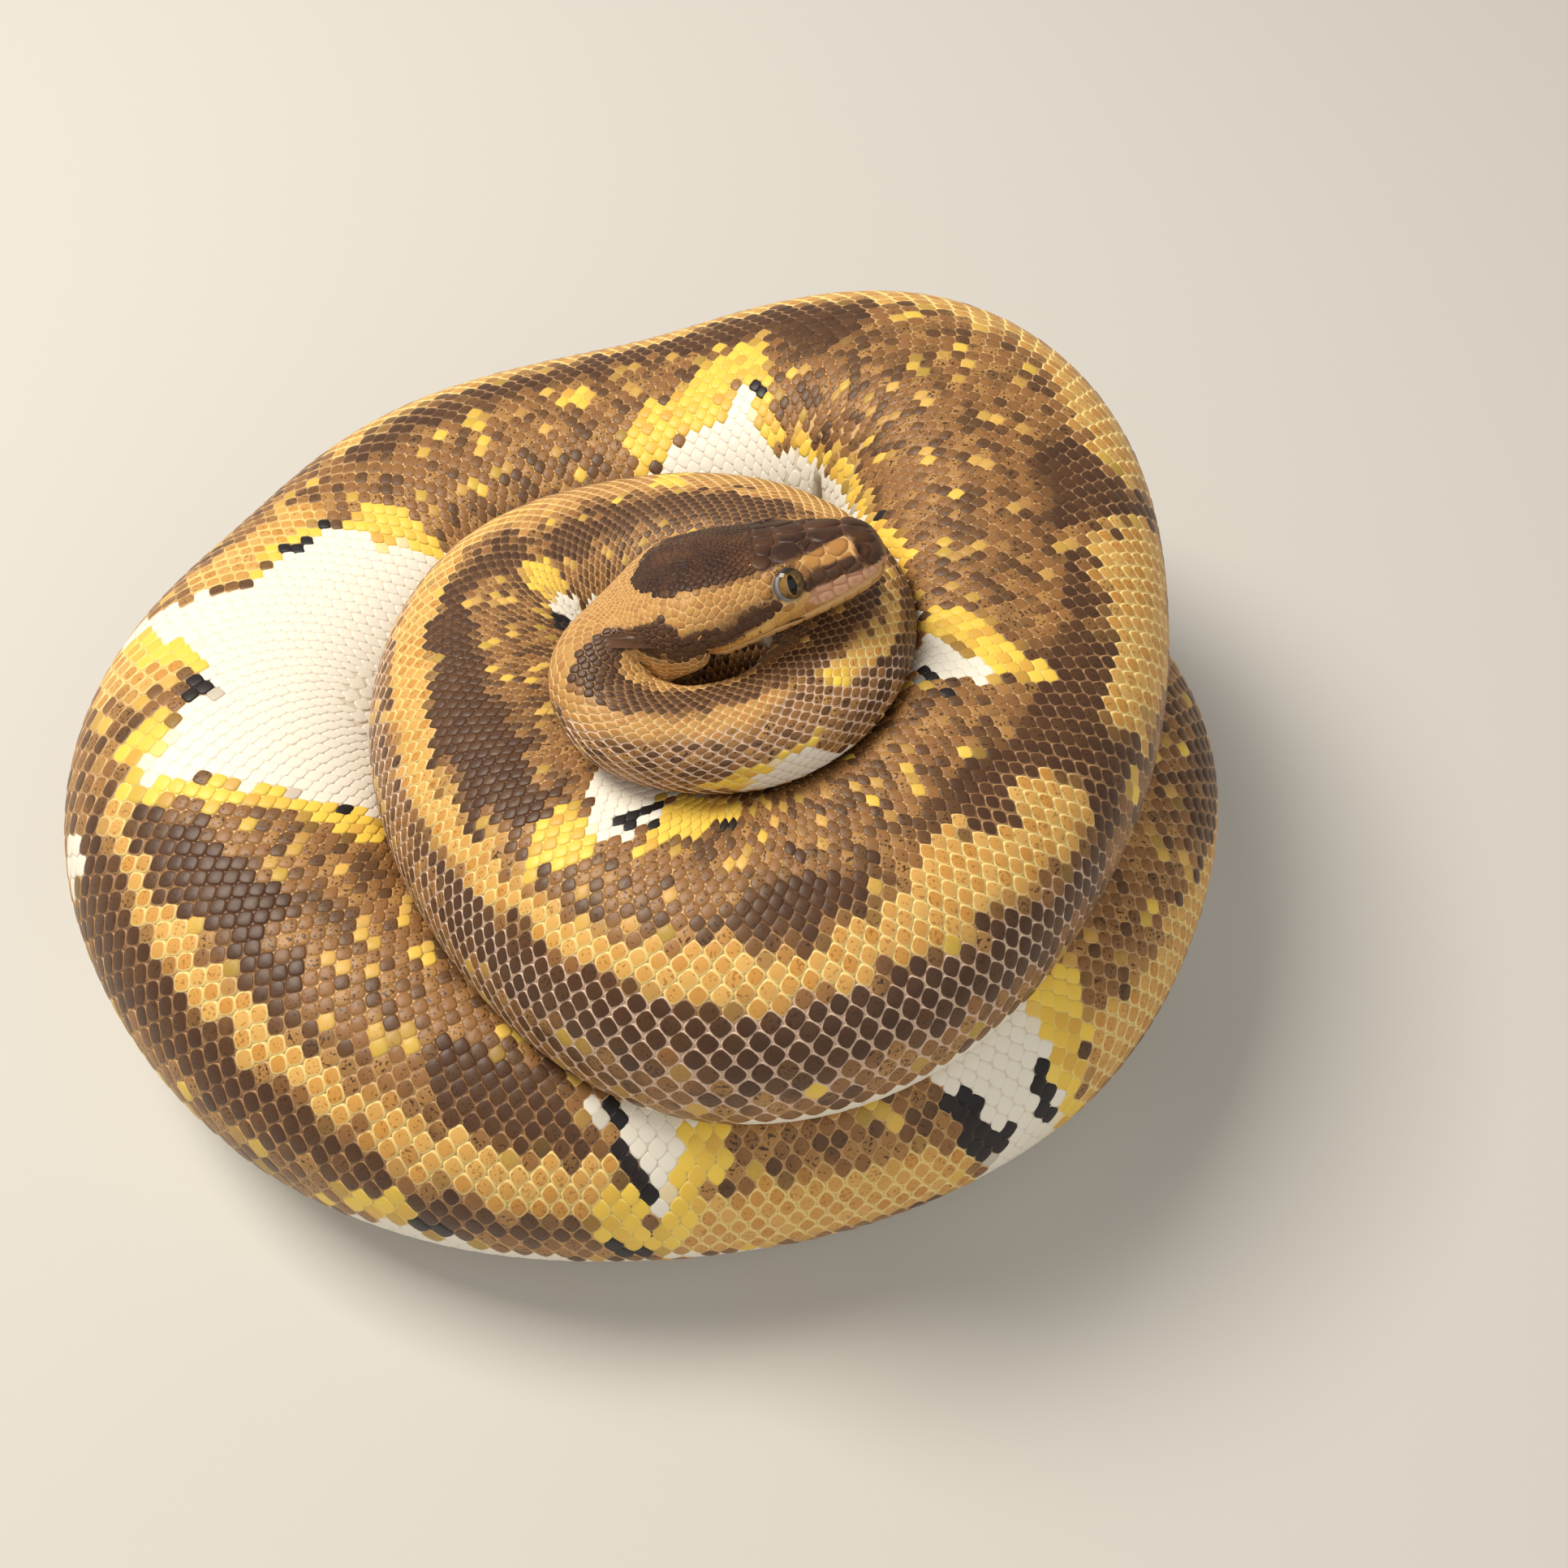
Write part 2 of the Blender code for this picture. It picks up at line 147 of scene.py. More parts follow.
def bodyPath():
    curve = smoothCurve(stationRows())
    run = np.r_[0, np.cumsum(np.linalg.norm(np.diff(curve[:, :3], axis=0), axis=1))]
    along = np.linspace(0, run[-1], int(run[-1]) + 1)
    even = np.stack([np.interp(along, run, curve[:, c]) for c in range(4)], 1)
    neck, trunk = (np.clip((along - first) / length, 0, 1)[:, None]
                   for first, length in (coilShape["neckEased"], coilShape["trunkEased"]))
    loop = even * (1 - neck) + eased(even, coilShape["neckEasing"]) * neck
    return along, loop * (1 - trunk) + eased(even, coilShape["trunkEasing"]) * trunk


along, path = bodyPath()
bodyLength = along[-1]
tailEnd = bodyLength - 0.6


def blend(value):
    value = np.clip(value, 0, 1)
    return value * value * (3 - 2 * value)


def tableAt(run, rows, column=1):
    table = np.array(rows)
    return np.interp(run, table[:, 0], table[:, column])


def unit(vectors):
    return vectors / np.maximum(np.linalg.norm(vectors, axis=-1), 1e-9)[..., None]


def framesAt(run):
    def spot(at):
        return np.stack([np.interp(at, along, path[:, c]) for c in range(3)], -1)
    tangent = unit(spot(run + 0.5) - spot(run - 0.5))
    up = unit(np.array([0.0, 0.0, 1.0]) - tangent[..., 2:] * tangent)
    return spot(run), tangent, up, np.cross(tangent, up)


def ovalReach(angle, power, across, upward):
    # how far an oval of that squareness reaches, at an angle from straight up
    outward = (np.abs(np.sin(angle)) / across) ** power
    return (outward + (np.abs(np.cos(angle)) / upward) ** power) ** (-1 / power)


def spokes(run, turn):
    # the free shape of the body: its centre, the way out and how far, for runs by turns
    centre, tangent, up, side = framesAt(run)
    half = np.interp(run, along, path[:, 3])
    lean = np.radians(tableAt(run, coilShape["lean"]))
    theta = np.radians(turn)[None] + np.radians(tableAt(run, coilShape["rowLean"]))[:, None]
    body = half[:, None] * ovalReach(theta, coilShape["square"], 1.0, coilShape["flatness"])
    width, top, base = (tableAt(run, headShape["profile"], c)[:, None] for c in (1, 2, 3))
    phi = theta - lean[:, None]
    power = np.where(np.cos(phi) > 0, headShape["crown"], headShape["throat"])
    head = ovalReach(phi, power, width, (top + base) / 2)
    share = blend((run - headShape["ends"]) / headShape["fades"])[:, None]
    back = np.cos(lean)[:, None] * up + np.sin(lean)[:, None] * side
    centre = centre + (top - base) / 2 * (1 - share) * back
    way = np.sin(theta)[..., None] * side[:, None] + np.cos(theta)[..., None] * up[:, None]
    return centre, tangent, head * (1 - share) + body * share, way


def unsquashed(points):
    # the room stretched upwards, so that the flat body is round in it
    return points * np.array([1.0, 1.0, 1.0 / coilShape["flatness"]])


def room(points, where, clear, turns, places, reach, batch=3000):
    # distance from each point to the nearest other turn, less than nothing inside it
    best = np.full(len(points), farOff)
    for first in range(0, len(points), batch):
        own = slice(first, first + batch)
        away = unsquashed(points[own])[:, None] - unsquashed(turns)[None]
        far = np.linalg.norm(away, axis=2) - reach
        far[np.abs(where[own, None] - places[None]) < clear[own, None]] = farOff
        best[own] = far.min(1)
    return best


def pressedShare(run, turn):
    # how much of each spoke is left where turns press, inside a bend
    centre, tangent, radius, way = spokes(run, turn)
    turns, where = path[::3, :3], along[::3]
    isHead = 1 - blend((where - headShape["ends"]) / headShape["fades"])
    reach = tableAt(where, headShape["profile"]) * isHead + path[::3, 3] * (1 - isHead)
    around = len(turn)
    start = np.repeat(centre, around, 0)
    ray = (radius[..., None] * way).reshape(-1, 3)
    place = np.repeat(run, around)
    own = np.interp(place, where, reach)
    widths, more = coilShape["ownReach"]
    clear = widths * own + more
    length = np.linalg.norm(unsquashed(ray), axis=1)
    bend = np.gradient(tangent, run, axis=0)
    inward = (ray.reshape(len(run), around, 3) * bend[:, None]).sum(2).ravel()
    share = np.minimum(1.0, coilShape["insideBend"] / np.maximum(inward, 1e-6))
    press = coilShape["press"]
    touch = room(start + ray, place, clear, turns, where, reach) < length - own + press
    low, high = np.full(touch.sum(), coilShape["leastSpoke"]), np.ones(touch.sum())
    for _ in range(9):
        middle = (low + high) / 2
        tip = start[touch] + middle[:, None] * ray[touch]
        left = room(tip, place[touch], clear[touch], turns, where, reach)
        free = middle * length[touch] - own[touch] <= left - press
        low, high = np.where(free, middle, low), np.where(free, high, middle)
    share[touch] = np.minimum(share[touch], low)
    return share.reshape(len(run), around)


def softened(values, passes):
    # averages a field over its neighbours, round the body and along it
    for _ in range(passes):
        values = (np.roll(values, 1, 1) + 2 * values + np.roll(values, -1, 1)) / 4
        ends = np.vstack([values[:1], values, values[-1:]])
        values = (ends[:-2] + 2 * ends[1:-1] + ends[2:]) / 4
    return values


class SkinMap:
    # places and outward directions of the skin on an even mesh of runs by turns
    def __init__(self, first, last, step, around):
        self.run = np.linspace(first, last, int(round((last - first) / step)) + 1)
        self.step = self.run[1] - self.run[0]
        self.turn = np.arange(around) * 360.0 / around
        self.around = around

    def shape(self, share):
        centre, tangent, radius, way = spokes(self.run, self.turn)
        self.way = way
        self.points = centre[:, None] + (share * radius)[..., None] * way
        self.points[..., 2] = np.maximum(self.points[..., 2], 0.0)
        self.face()
        return self

    def face(self):
        onward = np.gradient(self.points, axis=0)
        sideways = np.roll(self.points, -1, 1) - np.roll(self.points, 1, 1)
        out = unit(np.cross(sideways, onward))
        self.normals = out * np.sign((out * self.way).sum(-1))[..., None]

    def corners(self, run, turn):
        i = np.clip((run - self.run[0]) / self.step, 0, len(self.run) - 1.001)
        j = (turn % 360.0) / 360.0 * self.around
        low, left = i.astype(int), j.astype(int) % self.around
        return low, left, (i - low)[..., None], (j - np.floor(j))[..., None]

    def read(self, field, run, turn):
        low, left, a, b = self.corners(run, turn)
        right = (left + 1) % self.around
        first = field[low, left] * (1 - b) + field[low, right] * b
        return first * (1 - a) + (field[low + 1, left] * (1 - b) + field[low + 1, right] * b) * a

    def lifted(self, run, turn, lift):
        outward = unit(self.read(self.normals, run, turn))
        return self.read(self.points, run, turn) + outward * lift[..., None]


bodyMap = SkinMap(0.0, tailEnd, 1.0, 144)
bodyShare = softened(pressedShare(bodyMap.run, bodyMap.turn), 3)
bodyMap.shape(bodyShare)
headMap = SkinMap(0.0, 66.0, 0.4, 192)
headPlaces = np.meshgrid(headMap.run, headMap.turn, indexing="ij")
headMap.shape(bodyMap.read(bodyShare[..., None], *headPlaces)[..., 0])
print("skin shaped", round(bodyLength), "mm long")

# the markings, each a closed line of (run, turn) on the skin
def bothSides(outline):
    return outline, tuple((run, -turn) for run, turn in outline)


markings = {
    "tan": (
        ((36, -62), (45, -58), (53, -52), (57, -43), (62, -46), (70, -50), (84, -48), (89, -44),
         (90, -30), (84, -20), (66, -19), (58, -8), (55, 8), (52, 30), (50, 70), (36, 70)),
        ((132, -18), (160, -12), (166, -4), (190, 2), (190, 28), (160, 20), (132, 30)),
        ((19, -58), (26, -58), (31, -57), (35, -42), (38, -34), (44, -60), (38, -62), (36, -75),
         (33, -85), (26, -81), (20, -76)),
        ((19, 58), (26, 58), (31, 57), (35, 45), (38, 40), (44, 60), (38, 66), (36, 75), (33, 85),
         (26, 81), (20, 76)),
        ((4, -48), (6, -32), (8, -38), (11, -46), (14, -53), (15, -66), (10, -66), (5, -60)),
        ((4, 48), (6, 30), (10, 33), (14, 40), (15, 66), (10, 66), (5, 60)),
        ((0, 92), (16, 88), (22, 92), (30, 101), (40, 92), (52, 100), (52, 260), (40, 268), (30, 259),
         (22, 268), (16, 272), (0, 268)),
        ((43, 98), (55, 104), (66, 100), (80, 96), (92, 104), (92, 268), (84, 272), (75, 269), (65, 264),
         (55, 259), (43, 268)),
    ),
    "gold": (
        ((97, -26), (102, -22), (112, -12), (121, 0), (122, 9), (112, 10), (104, 2), (98, -8)),
        ((180, 4), (188, 18), (196, 22), (220, 22), (235, 33), (250, 37), (253, 50), (238, 50), (225, 44),
         (200, 42), (185, 34)),
        ((250, 40), (262, 44), (285, 41), (291, 50), (305, 44), (312, 37), (328, 37), (334, 52),
         (338, 66), (336, 76), (320, 73), (310, 68), (296, 62), (280, 60), (262, 56), (252, 54)),
        ((346, 60), (356, 58), (378, 50), (384, 58), (387, 72), (388, 86), (378, 92), (358, 92),
         (350, 84)),
        ((396, 58), (401, 46), (420, 52), (436, 46), (448, 48), (460, 52), (545, 51), (545, 66),
         (460, 66), (430, 68), (410, 80), (394, 90), (392, 76)),
        ((560, 28), (575, 31), (585, 34), (587, 50), (584, 58), (566, 50), (556, 44)),
        ((598, 30), (603, 28), (606, 44), (604, 70), (594, 74), (596, 52)),
        ((620, 50), (632, 46), (660, 46), (676, 52), (690, 58), (704, 62), (716, 64), (714, 84),
         (704, 80), (694, 76), (682, 66), (668, 61), (650, 59), (630, 58), (618, 57)),
        ((726, 76), (740, 74), (764, 78), (767, 92), (766, 110), (728, 110), (724, 96)),
        ((784, 68), (800, 66), (830, 70), (850, 74), (850, 96), (800, 100), (784, 108)),
        ((866, 24), (884, 16), (902, 30), (898, 58), (880, 70), (864, 52)),
        ((930, -10), (946, -30), (962, -14), (960, 20), (944, 34), (932, 16)),
        ((985, 20), (1002, 12), (1014, 30), (1008, 62), (992, 66), (984, 44)),
        ((1040, -30), (1054, -44), (1066, -26), (1064, 10), (1050, 26), (1040, 6)),
        ((1090, 10), (1104, 0), (1114, 20), (1108, 60), (1094, 60)),
        ((230, -90), (250, -104), (270, -92), (268, -66), (250, -54), (234, -66)),
        ((300, -84), (322, -96), (340, -78), (336, -54), (318, -44), (304, -58)),
        ((500, -66), (522, -80), (540, -70), (538, -48), (520, -38), (504, -48)),
        ((668, -58), (690, -74), (706, -60), (702, -36), (684, -24), (670, -34)),
        *bothSides(((13, 87), (17, 91), (22, 96), (29, 104), (33, 105), (30, 112), (22, 106), (14, 99))),
        ((800, -50), (824, -66), (842, -48), (836, -20), (816, -8), (802, -24)),
    ),
    "dark": (
        ((36, -85), (45, -90), (55, -100), (65, -95), (75, -90), (88, -85), (94, -72), (100, -62),
         (110, -52), (115, -40), (120, -14), (124, 10), (118, 4), (110, -14), (104, -28), (95, -40),
         (88, -55), (75, -55), (66, -52), (60, -46), (57, -43), (53, -52), (45, -57), (36, -56)),
        ((100, 8), (108, 12), (118, 12), (126, 14), (124, 30), (112, 38), (102, 30)),
        ((136, -50), (150, -52), (162, -36), (180, -36), (186, -26), (190, 8), (200, 21), (220, 22),
         (236, 32), (250, 34), (252, 10), (240, 2), (215, 2), (200, 0), (192, -14), (180, -10),
         (160, -12), (140, -18)),
        ((286, 22), (296, 20), (304, 30), (302, 44), (292, 49), (285, 38)),
        ((314, 34), (324, 30), (338, 34), (352, 38), (371, 38), (370, 50), (352, 58), (344, 60),
         (347, 78), (345, 86), (332, 80), (336, 62), (330, 48), (320, 50)),
        ((378, 30), (392, 30), (399, 36), (398, 50), (392, 58), (396, 82), (388, 84), (386, 62),
         (379, 48)),
        ((440, 18), (452, 8), (457, 30), (474, 36), (500, 34), (545, 38), (545, 50), (460, 50),
         (446, 42)),
        ((240, 52), (255, 56), (280, 60), (300, 66), (320, 76), (334, 82), (332, 94), (310, 92),
         (290, 88), (270, 82), (252, 76)),
        ((620, 58), (640, 60), (664, 62), (680, 68), (692, 78), (702, 84), (712, 90), (704, 96),
         (690, 92), (672, 82), (652, 84), (632, 86), (622, 74)),
        ((622, 38), (636, 22), (652, 18), (662, 30), (666, 44), (646, 42), (634, 50), (624, 48)),
        ((690, 26), (704, 34), (716, 50), (712, 60), (700, 58), (688, 50)),
        ((818, 60), (838, 58), (846, 66), (840, 84), (822, 84)),
        ((864, -10), (900, -16), (930, 20), (960, 46), (980, 30), (980, 70), (920, 76), (900, 60),
         (902, 26)),
        ((990, -20), (1020, -20), (1040, 30), (1080, 40), (1080, 70), (1030, 66), (1016, 26)),
        *bothSides(((17.5, 81), (25, 85), (31, 85), (35, 80), (37, 60), (41, 58), (41, 93), (34, 101),
                    (27, 102), (18.5, 93))),
        *bothSides(((3.4, 70), (6, 62), (12, 68), (14, 70), (14, 82), (9, 86), (4, 88))),
    ),
    "crown": (
        ((0, -110), (1.6, -100), (3.2, -86), (4.2, -64), (4.6, -40), (5.4, -28), (8, -36), (11, -46),
         (14, -50), (16, -54), (20, -58), (26, -58), (30, -57), (33, -53), (36, -37), (38.4, -10),
         (38.8, 10), (38.2, 24), (36, 37), (33, 53), (30, 57), (26, 58), (20, 58), (16, 54), (14, 50),
         (11, 46), (8, 36), (5.4, 28), (4.6, 40), (4.2, 64), (3.2, 86), (1.6, 100), (0, 110)),
    ),
    "pale": (
        ((56, -4), (60, -14), (66, -19), (84, -19), (90, -34), (96, -40), (100, -30), (97, -22), (99, -6),
         (105, 10), (109, 32), (100, 50), (95, 30), (88, 22), (82, 22), (76, 40), (80, 62), (66, 46),
         (60, 22)),
        ((240, 54), (256, 58), (280, 62), (300, 68), (330, 84), (334, 110), (240, 110)),
        ((192, 42), (236, 50), (244, 110), (192, 110)),
    ),
    "white": (
        ((81, 52), (84, 28), (90, 22), (95, 44), (98, 52), (92, 66), (82, 66)),
        ((182, -64), (189, -50), (194, -38), (199, -38), (204, -42), (210, -50), (222, -66), (200, -80)),
        ((253, -4), (262, -11), (268, -19), (276, -24), (280, -40), (262, -40), (250, -24)),
        ((254, -5), (262, -11), (269, -10), (268, 0), (266, 12), (260, 14), (256, 3)),
        ((336, -5), (346, -12), (351, -11), (347, 2), (346, 18), (342, 20), (340, 6)),
        ((336, -8), (352, -17), (362, -22), (374, -29), (380, -36), (392, -46), (400, -49), (415, -50),
         (430, -47), (440, -41), (446, -36), (452, -31), (458, -34), (461, -25), (462, -5), (464, 4),
         (468, 0), (470, -10), (480, -14), (485, -22), (491, -27), (496, -60), (440, -90), (380, -84),
         (340, -50)),
        ((550, -4), (553, 0), (556, 16), (558, 24), (565, 26), (576, 29), (585, 31), (587, 44), (589, 60),
         (590, 76), (594, 74), (596, 56), (598, 40), (600, 28), (603, 20), (607, 18), (610, 28),
         (617, 36), (620, 46), (622, 34), (624, 20), (628, 9), (631, 0), (636, -9), (641, -18),
         (650, -30), (654, -60), (640, -96), (560, -96), (548, -60), (546, -22)),
        ((712, 43), (722, 40), (729, 46), (727, 60), (724, 72), (721, 84), (719, 80), (720, 64),
         (717, 55)),
        ((762, 44), (784, 40), (782, 60), (780, 110), (779, 140), (762, 140), (766, 110), (770, 92),
         (768, 72), (764, 58)),
        ((620, 72), (628, 74), (627, 86), (621, 86)),
        ((870, -40), (890, -56), (912, -44), (908, -20), (888, -12), (872, -22)),
        ((1020, 70), (1034, 60), (1046, 72), (1046, 110), (1020, 110)),
        ((950, 60), (966, 52), (984, 66), (984, 110), (950, 110)),
    ),
    "yellow": (
        ((76, 44), (80, 24), (86, 17), (91, 18), (85, 26), (82, 44), (81, 54)),
        ((96.6, -28), (100.5, -24), (100.5, -9), (98, -8)),
        ((160, -1), (165, -1), (165, 20), (160, 18)),
        ((186, -44), (194, -38), (198, -38), (197, -28), (192, -14), (188, -24)),
        ((255, 8), (261, 14), (262, 27), (258, 35), (255, 25), (253, 13)),
        ((268, -16), (276, -20), (285, -18), (287, -9), (280, -4), (276, 2), (269, 13), (268, -2)),
        ((350, -10), (357, -9), (357, 5), (352, 16), (350, 36), (346, 41), (344, 22), (348, 8)),
        ((366, -24), (374, -29), (380, -36), (392, -46), (400, -49), (415, -50), (430, -47), (440, -41),
         (446, -36), (452, -31), (461, -25), (462, -5), (459, -6), (456, -22), (448, -28), (440, -36),
         (430, -42), (415, -43), (398, -43), (388, -38), (380, -29), (372, -22)),
        ((458, 0), (465, 5), (470, -9), (480, -13), (486, -22), (491, -25), (491, -5), (486, 8),
         (478, 12), (474, 20), (468, 28), (459, 25)),
        ((498, 20), (501, 16), (506, 20), (504, 28), (499, 28)),
        ((544, -16), (550, -18), (552, -3), (556, 2), (557, 18), (549, 18), (546, 6)),
        ((556, 24), (562, 26), (576, 29), (582, 32), (574, 36), (558, 30)),
        ((597, 30), (601, 27), (600, 44), (597, 66), (594, 68)),
        ((610, 29), (614, 31), (618, 38), (619, 54), (614, 50), (611, 40)),
        ((620, 45), (622, 34), (624, 20), (628, 9), (631, 0), (636, -9), (641, -18), (650, -28),
         (653, -22), (644, -10), (638, -2), (634, 6), (631, 16), (627, 26), (625, 38), (622, 50)),
        ((724, 48), (733, 49), (733, 62), (728, 70), (726, 88), (724, 104), (720, 104), (722, 84),
         (725, 70)),
        ((712, 76), (718, 70), (720, 82), (719, 102), (714, 102)),
        ((781, 40), (791, 42), (788, 58), (784, 80), (783, 112), (779, 112), (780, 66)),
        ((680, 87), (689, 86), (690, 94), (684, 104), (678, 104)),
        ((905, -46), (914, -44), (912, -18), (906, -18)),
    ),
    "pink": (
        *bothSides(((0, 90), (6, 84), (12, 85), (15, 92), (13, 103), (0, 108))),
    ),
    "black": (
        ((199, -46), (209, -46), (207, -38), (201, -36)),
        ((261.5, -1), (264.5, -8), (266, -8), (265, 4), (263, 8), (261, 6)),
        ((266, -4), (268.2, -4), (268.2, 3), (266.4, 2)),
        ((281, -6), (284.4, -6), (284, -1), (281, -1)),
        ((338, -5), (341, -5), (341, 0), (338, 0)),
        ((335, 8), (337.6, 8), (338, 13), (336, 13)),
        ((384, -36), (388, -36), (388, -31), (385, -31)),
        ((459, -5), (462, -4), (461.6, 1), (459, 1)),
        ((556, 23), (561, 24), (562, 29), (558, 29)),
        ((565, 24), (574, 27), (573, 31), (565, 29)),
        ((603, 20), (606, 14), (607.6, 18), (608, 28), (603, 28)),
        ((640, -21), (642.6, -21), (642.6, -16), (640, -16)),
        ((713, 42), (717, 44), (717, 54), (714.6, 52)),
        ((715, 55), (718, 56), (720.6, 66), (721.4, 77), (719, 78), (717, 68)),
        ((719.8, 87), (721.4, 87), (721.4, 98), (719.8, 98)),
        ((715, 97), (720, 99), (720, 108), (715, 108)),
        ((763, 59), (766.6, 59), (768.4, 72), (772, 84), (772, 93), (767, 94), (765, 78)),
        ((775.6, 80), (777, 66), (779, 68), (778.4, 96), (776.6, 96)),
        ((690, 91), (695.6, 92), (694, 103), (689, 101)),
    ),
}
edgeLook = {
    # how far each marking's edge wanders, in millimetres, and how soft it is where that isn't 1
    "wander": {"tan": 1.2, "gold": 1.6, "dark": 1.8, "crown": 0.35, "pale": 1.2, "white": 0.7, "yellow": 0.8,
               "pink": 0.5, "black": 0.25},
    "softness": {"white": 0.1, "yellow": 0.4, "black": 0.05},
    "broad": 9.0, "fine": 4.5, "fineShare": 0.6,
    # run, share of the wander there: the markings of the head are neat
    "loose": ((0, 0.10), (42, 0.16), (60, 0.45), (120, 1.0)),
    # run, how far down the flank the white of the belly starts, as a turn from the ridge of the back
    "bellyLine": ((84, 104), (130, 108), (170, 120), (400, 124), (600, 120), (650, 108), (700, 106),
                  (740, 118), (860, 120), (1000, 112), (1160, 106)),
    "bellySoftness": 0.4, "bellyFrom": 84.0, "bellyFades": 10.0,
    # size of the waves in that line and how many degrees they reach
    "bellyWaves": ((30.0, 7.0), (9.0, 4.0)),
    # yellow specks along it: their size, how rare they are and how far they stray
    "speckSize": 12.0, "speckRare": 0.95, "speckReach": 7.0, "speckFrom": 96.0,
}


def girthAt(run):
    # millimetres of skin for one degree of turn
    return np.radians(1.0) * np.maximum(0.96 * np.interp(run, along, path[:, 3]), 3.0)


def outlineGap(run, turn, outline):
    # how far inside an outline each place is, in millimetres; less than nothing outside
    corners = np.array(outline, float)
    middle = corners[:, 1].mean()
    turn = (turn - middle + 180.0) % 360.0 - 180.0 + middle
    scale = girthAt(corners[:, 0].mean())
    x, y = run, turn * scale
    cx, cy = corners[:, 0], corners[:, 1] * scale
    nearest = np.full(x.shape, np.inf)
    inside = np.zeros(x.shape, bool)
    for k in range(len(corners)):
        ax, ay, bx, by = cx[k], cy[k], cx[k - 1], cy[k - 1]
        dx, dy = bx - ax, by - ay
        part = np.clip(((x - ax) * dx + (y - ay) * dy) / max(dx * dx + dy * dy, 1e-9), 0, 1)
        nearest = np.minimum(nearest, np.hypot(x - ax - part * dx, y - ay - part * dy))
        if ay != by:
            inside ^= ((ay > y) != (by > y)) & (x < dx * (y - ay) / dy + ax)
    return np.where(inside, nearest, -nearest)


def wander(run, turn, size, seed, waves=9):
    # a smooth uneven field, about -1 to 1, that closes round the body
    dice = np.random.default_rng(seed)
    way = np.radians(turn)
    field = np.zeros(np.shape(run))
    for _ in range(waves):
        beat = dice.normal(0, 2 * np.pi / size)
        rounds = int(round(dice.normal(0, 150.0 / size)))
        field = field + np.sin(beat * run + rounds * way + dice.uniform(0, 2 * np.pi))
    return field / 3.0


def foldedTurn(turn):
    # a turn as -180 to 180 from the ridge of the back
    return (turn + 180.0) % 360.0 - 180.0


def bellyWhite(run, turn, found):
    # the white of the belly and the yellow specks along its edge
    (broad, high), (narrow, low) = edgeLook["bellyWaves"]
    line = tableAt(run, edgeLook["bellyLine"])
    line = line + high * wander(run, turn, broad, 7) + low * wander(run, turn, narrow, 8)
    down = np.abs(foldedTurn(turn))
    share = np.clip((down - line) / edgeLook["bellySoftness"], 0, 1)
    share = share * np.clip((run - edgeLook["bellyFrom"]) / edgeLook["bellyFades"], 0, 1)
    found["white"] = np.maximum(found["white"], share)
    speck = wander(run, turn, edgeLook["speckSize"], 9) > edgeLook["speckRare"]
    speck = speck * (np.abs(down - line) < edgeLook["speckReach"]) * (run > edgeLook["speckFrom"])
    found["yellow"] = np.maximum(found["yellow"], speck)


def marksAt(run, turn, crisp):
    # how much of each marking is at each place, 0 to 1; crisp is the width of its edge
    found = {}
    nearBy = 12.0
    loose = tableAt(run, edgeLook["loose"])
    for order, (name, outlines) in enumerate(markings.items()):
        gap = np.full(np.shape(run), -farOff)
        for outline in outlines:
            span = np.array(outline, float)[:, 0]
            near = (run > span.min() - nearBy) & (run < span.max() + nearBy)
            if near.any():
                gap[near] = np.maximum(gap[near], outlineGap(run[near], turn[near], outline))
        drift = wander(run, turn, edgeLook["broad"], 40 + order)
        drift = drift + edgeLook["fineShare"] * wander(run, turn, edgeLook["fine"], 60 + order)
        drift = drift * edgeLook["wander"][name] * loose
        found[name] = np.clip(0.5 + (gap + drift) / (crisp * edgeLook["softness"].get(name, 1.0)), 0, 1)
    bellyWhite(run, turn, found)
    return found


# mesh making
def flatPlace(run, across, strip):
    # a place on the skin laid out flat in three strips side by side, each a third of the animal
    third = bodyLength / 3.0
    u = 0.01 + 0.98 * (run - strip * third) / third
    return np.stack([u, (strip + 0.02 + 0.96 * across / 360.0) / 3.0], -1)


def flatUnwrap(run, turn):
    return flatPlace(run, (turn + 180.0) % 360.0, np.clip(run // (bodyLength / 3.0), 0, 2))


def gridOf(first, second):
    # every pair of two lists, as two flat lists
    return [table.ravel() for table in np.meshgrid(first, second, indexing="ij")]


def wallFaces(rings, around, closed=True):
    # the quads between rings of points, one ring after another
    i, j = gridOf(np.arange(rings - 1), np.arange(around if closed else around - 1))
    k = (j + 1) % around
    here, ahead = i * around, (i + 1) * around
    return np.stack([here + j, here + k, ahead + k, ahead + j], 1)


def fanFaces(first, around, tip):
    # triangles from a ring of points to one point
    j = np.arange(around)
    return np.stack([first + j, first + (j + 1) % around, np.full(around, tip)], 1)


def scaleFaces(rings, around, count):
    # the quads and triangles of many scales of the same make, each closed by its middle point
    each = rings * around + 1
    first = (np.arange(count) * each)[:, None, None]
    one = (wallFaces(rings, around), fanFaces((rings - 1) * around, around, each - 1))
    return [(table[None] + first).reshape(-1, table.shape[1]) for table in one]


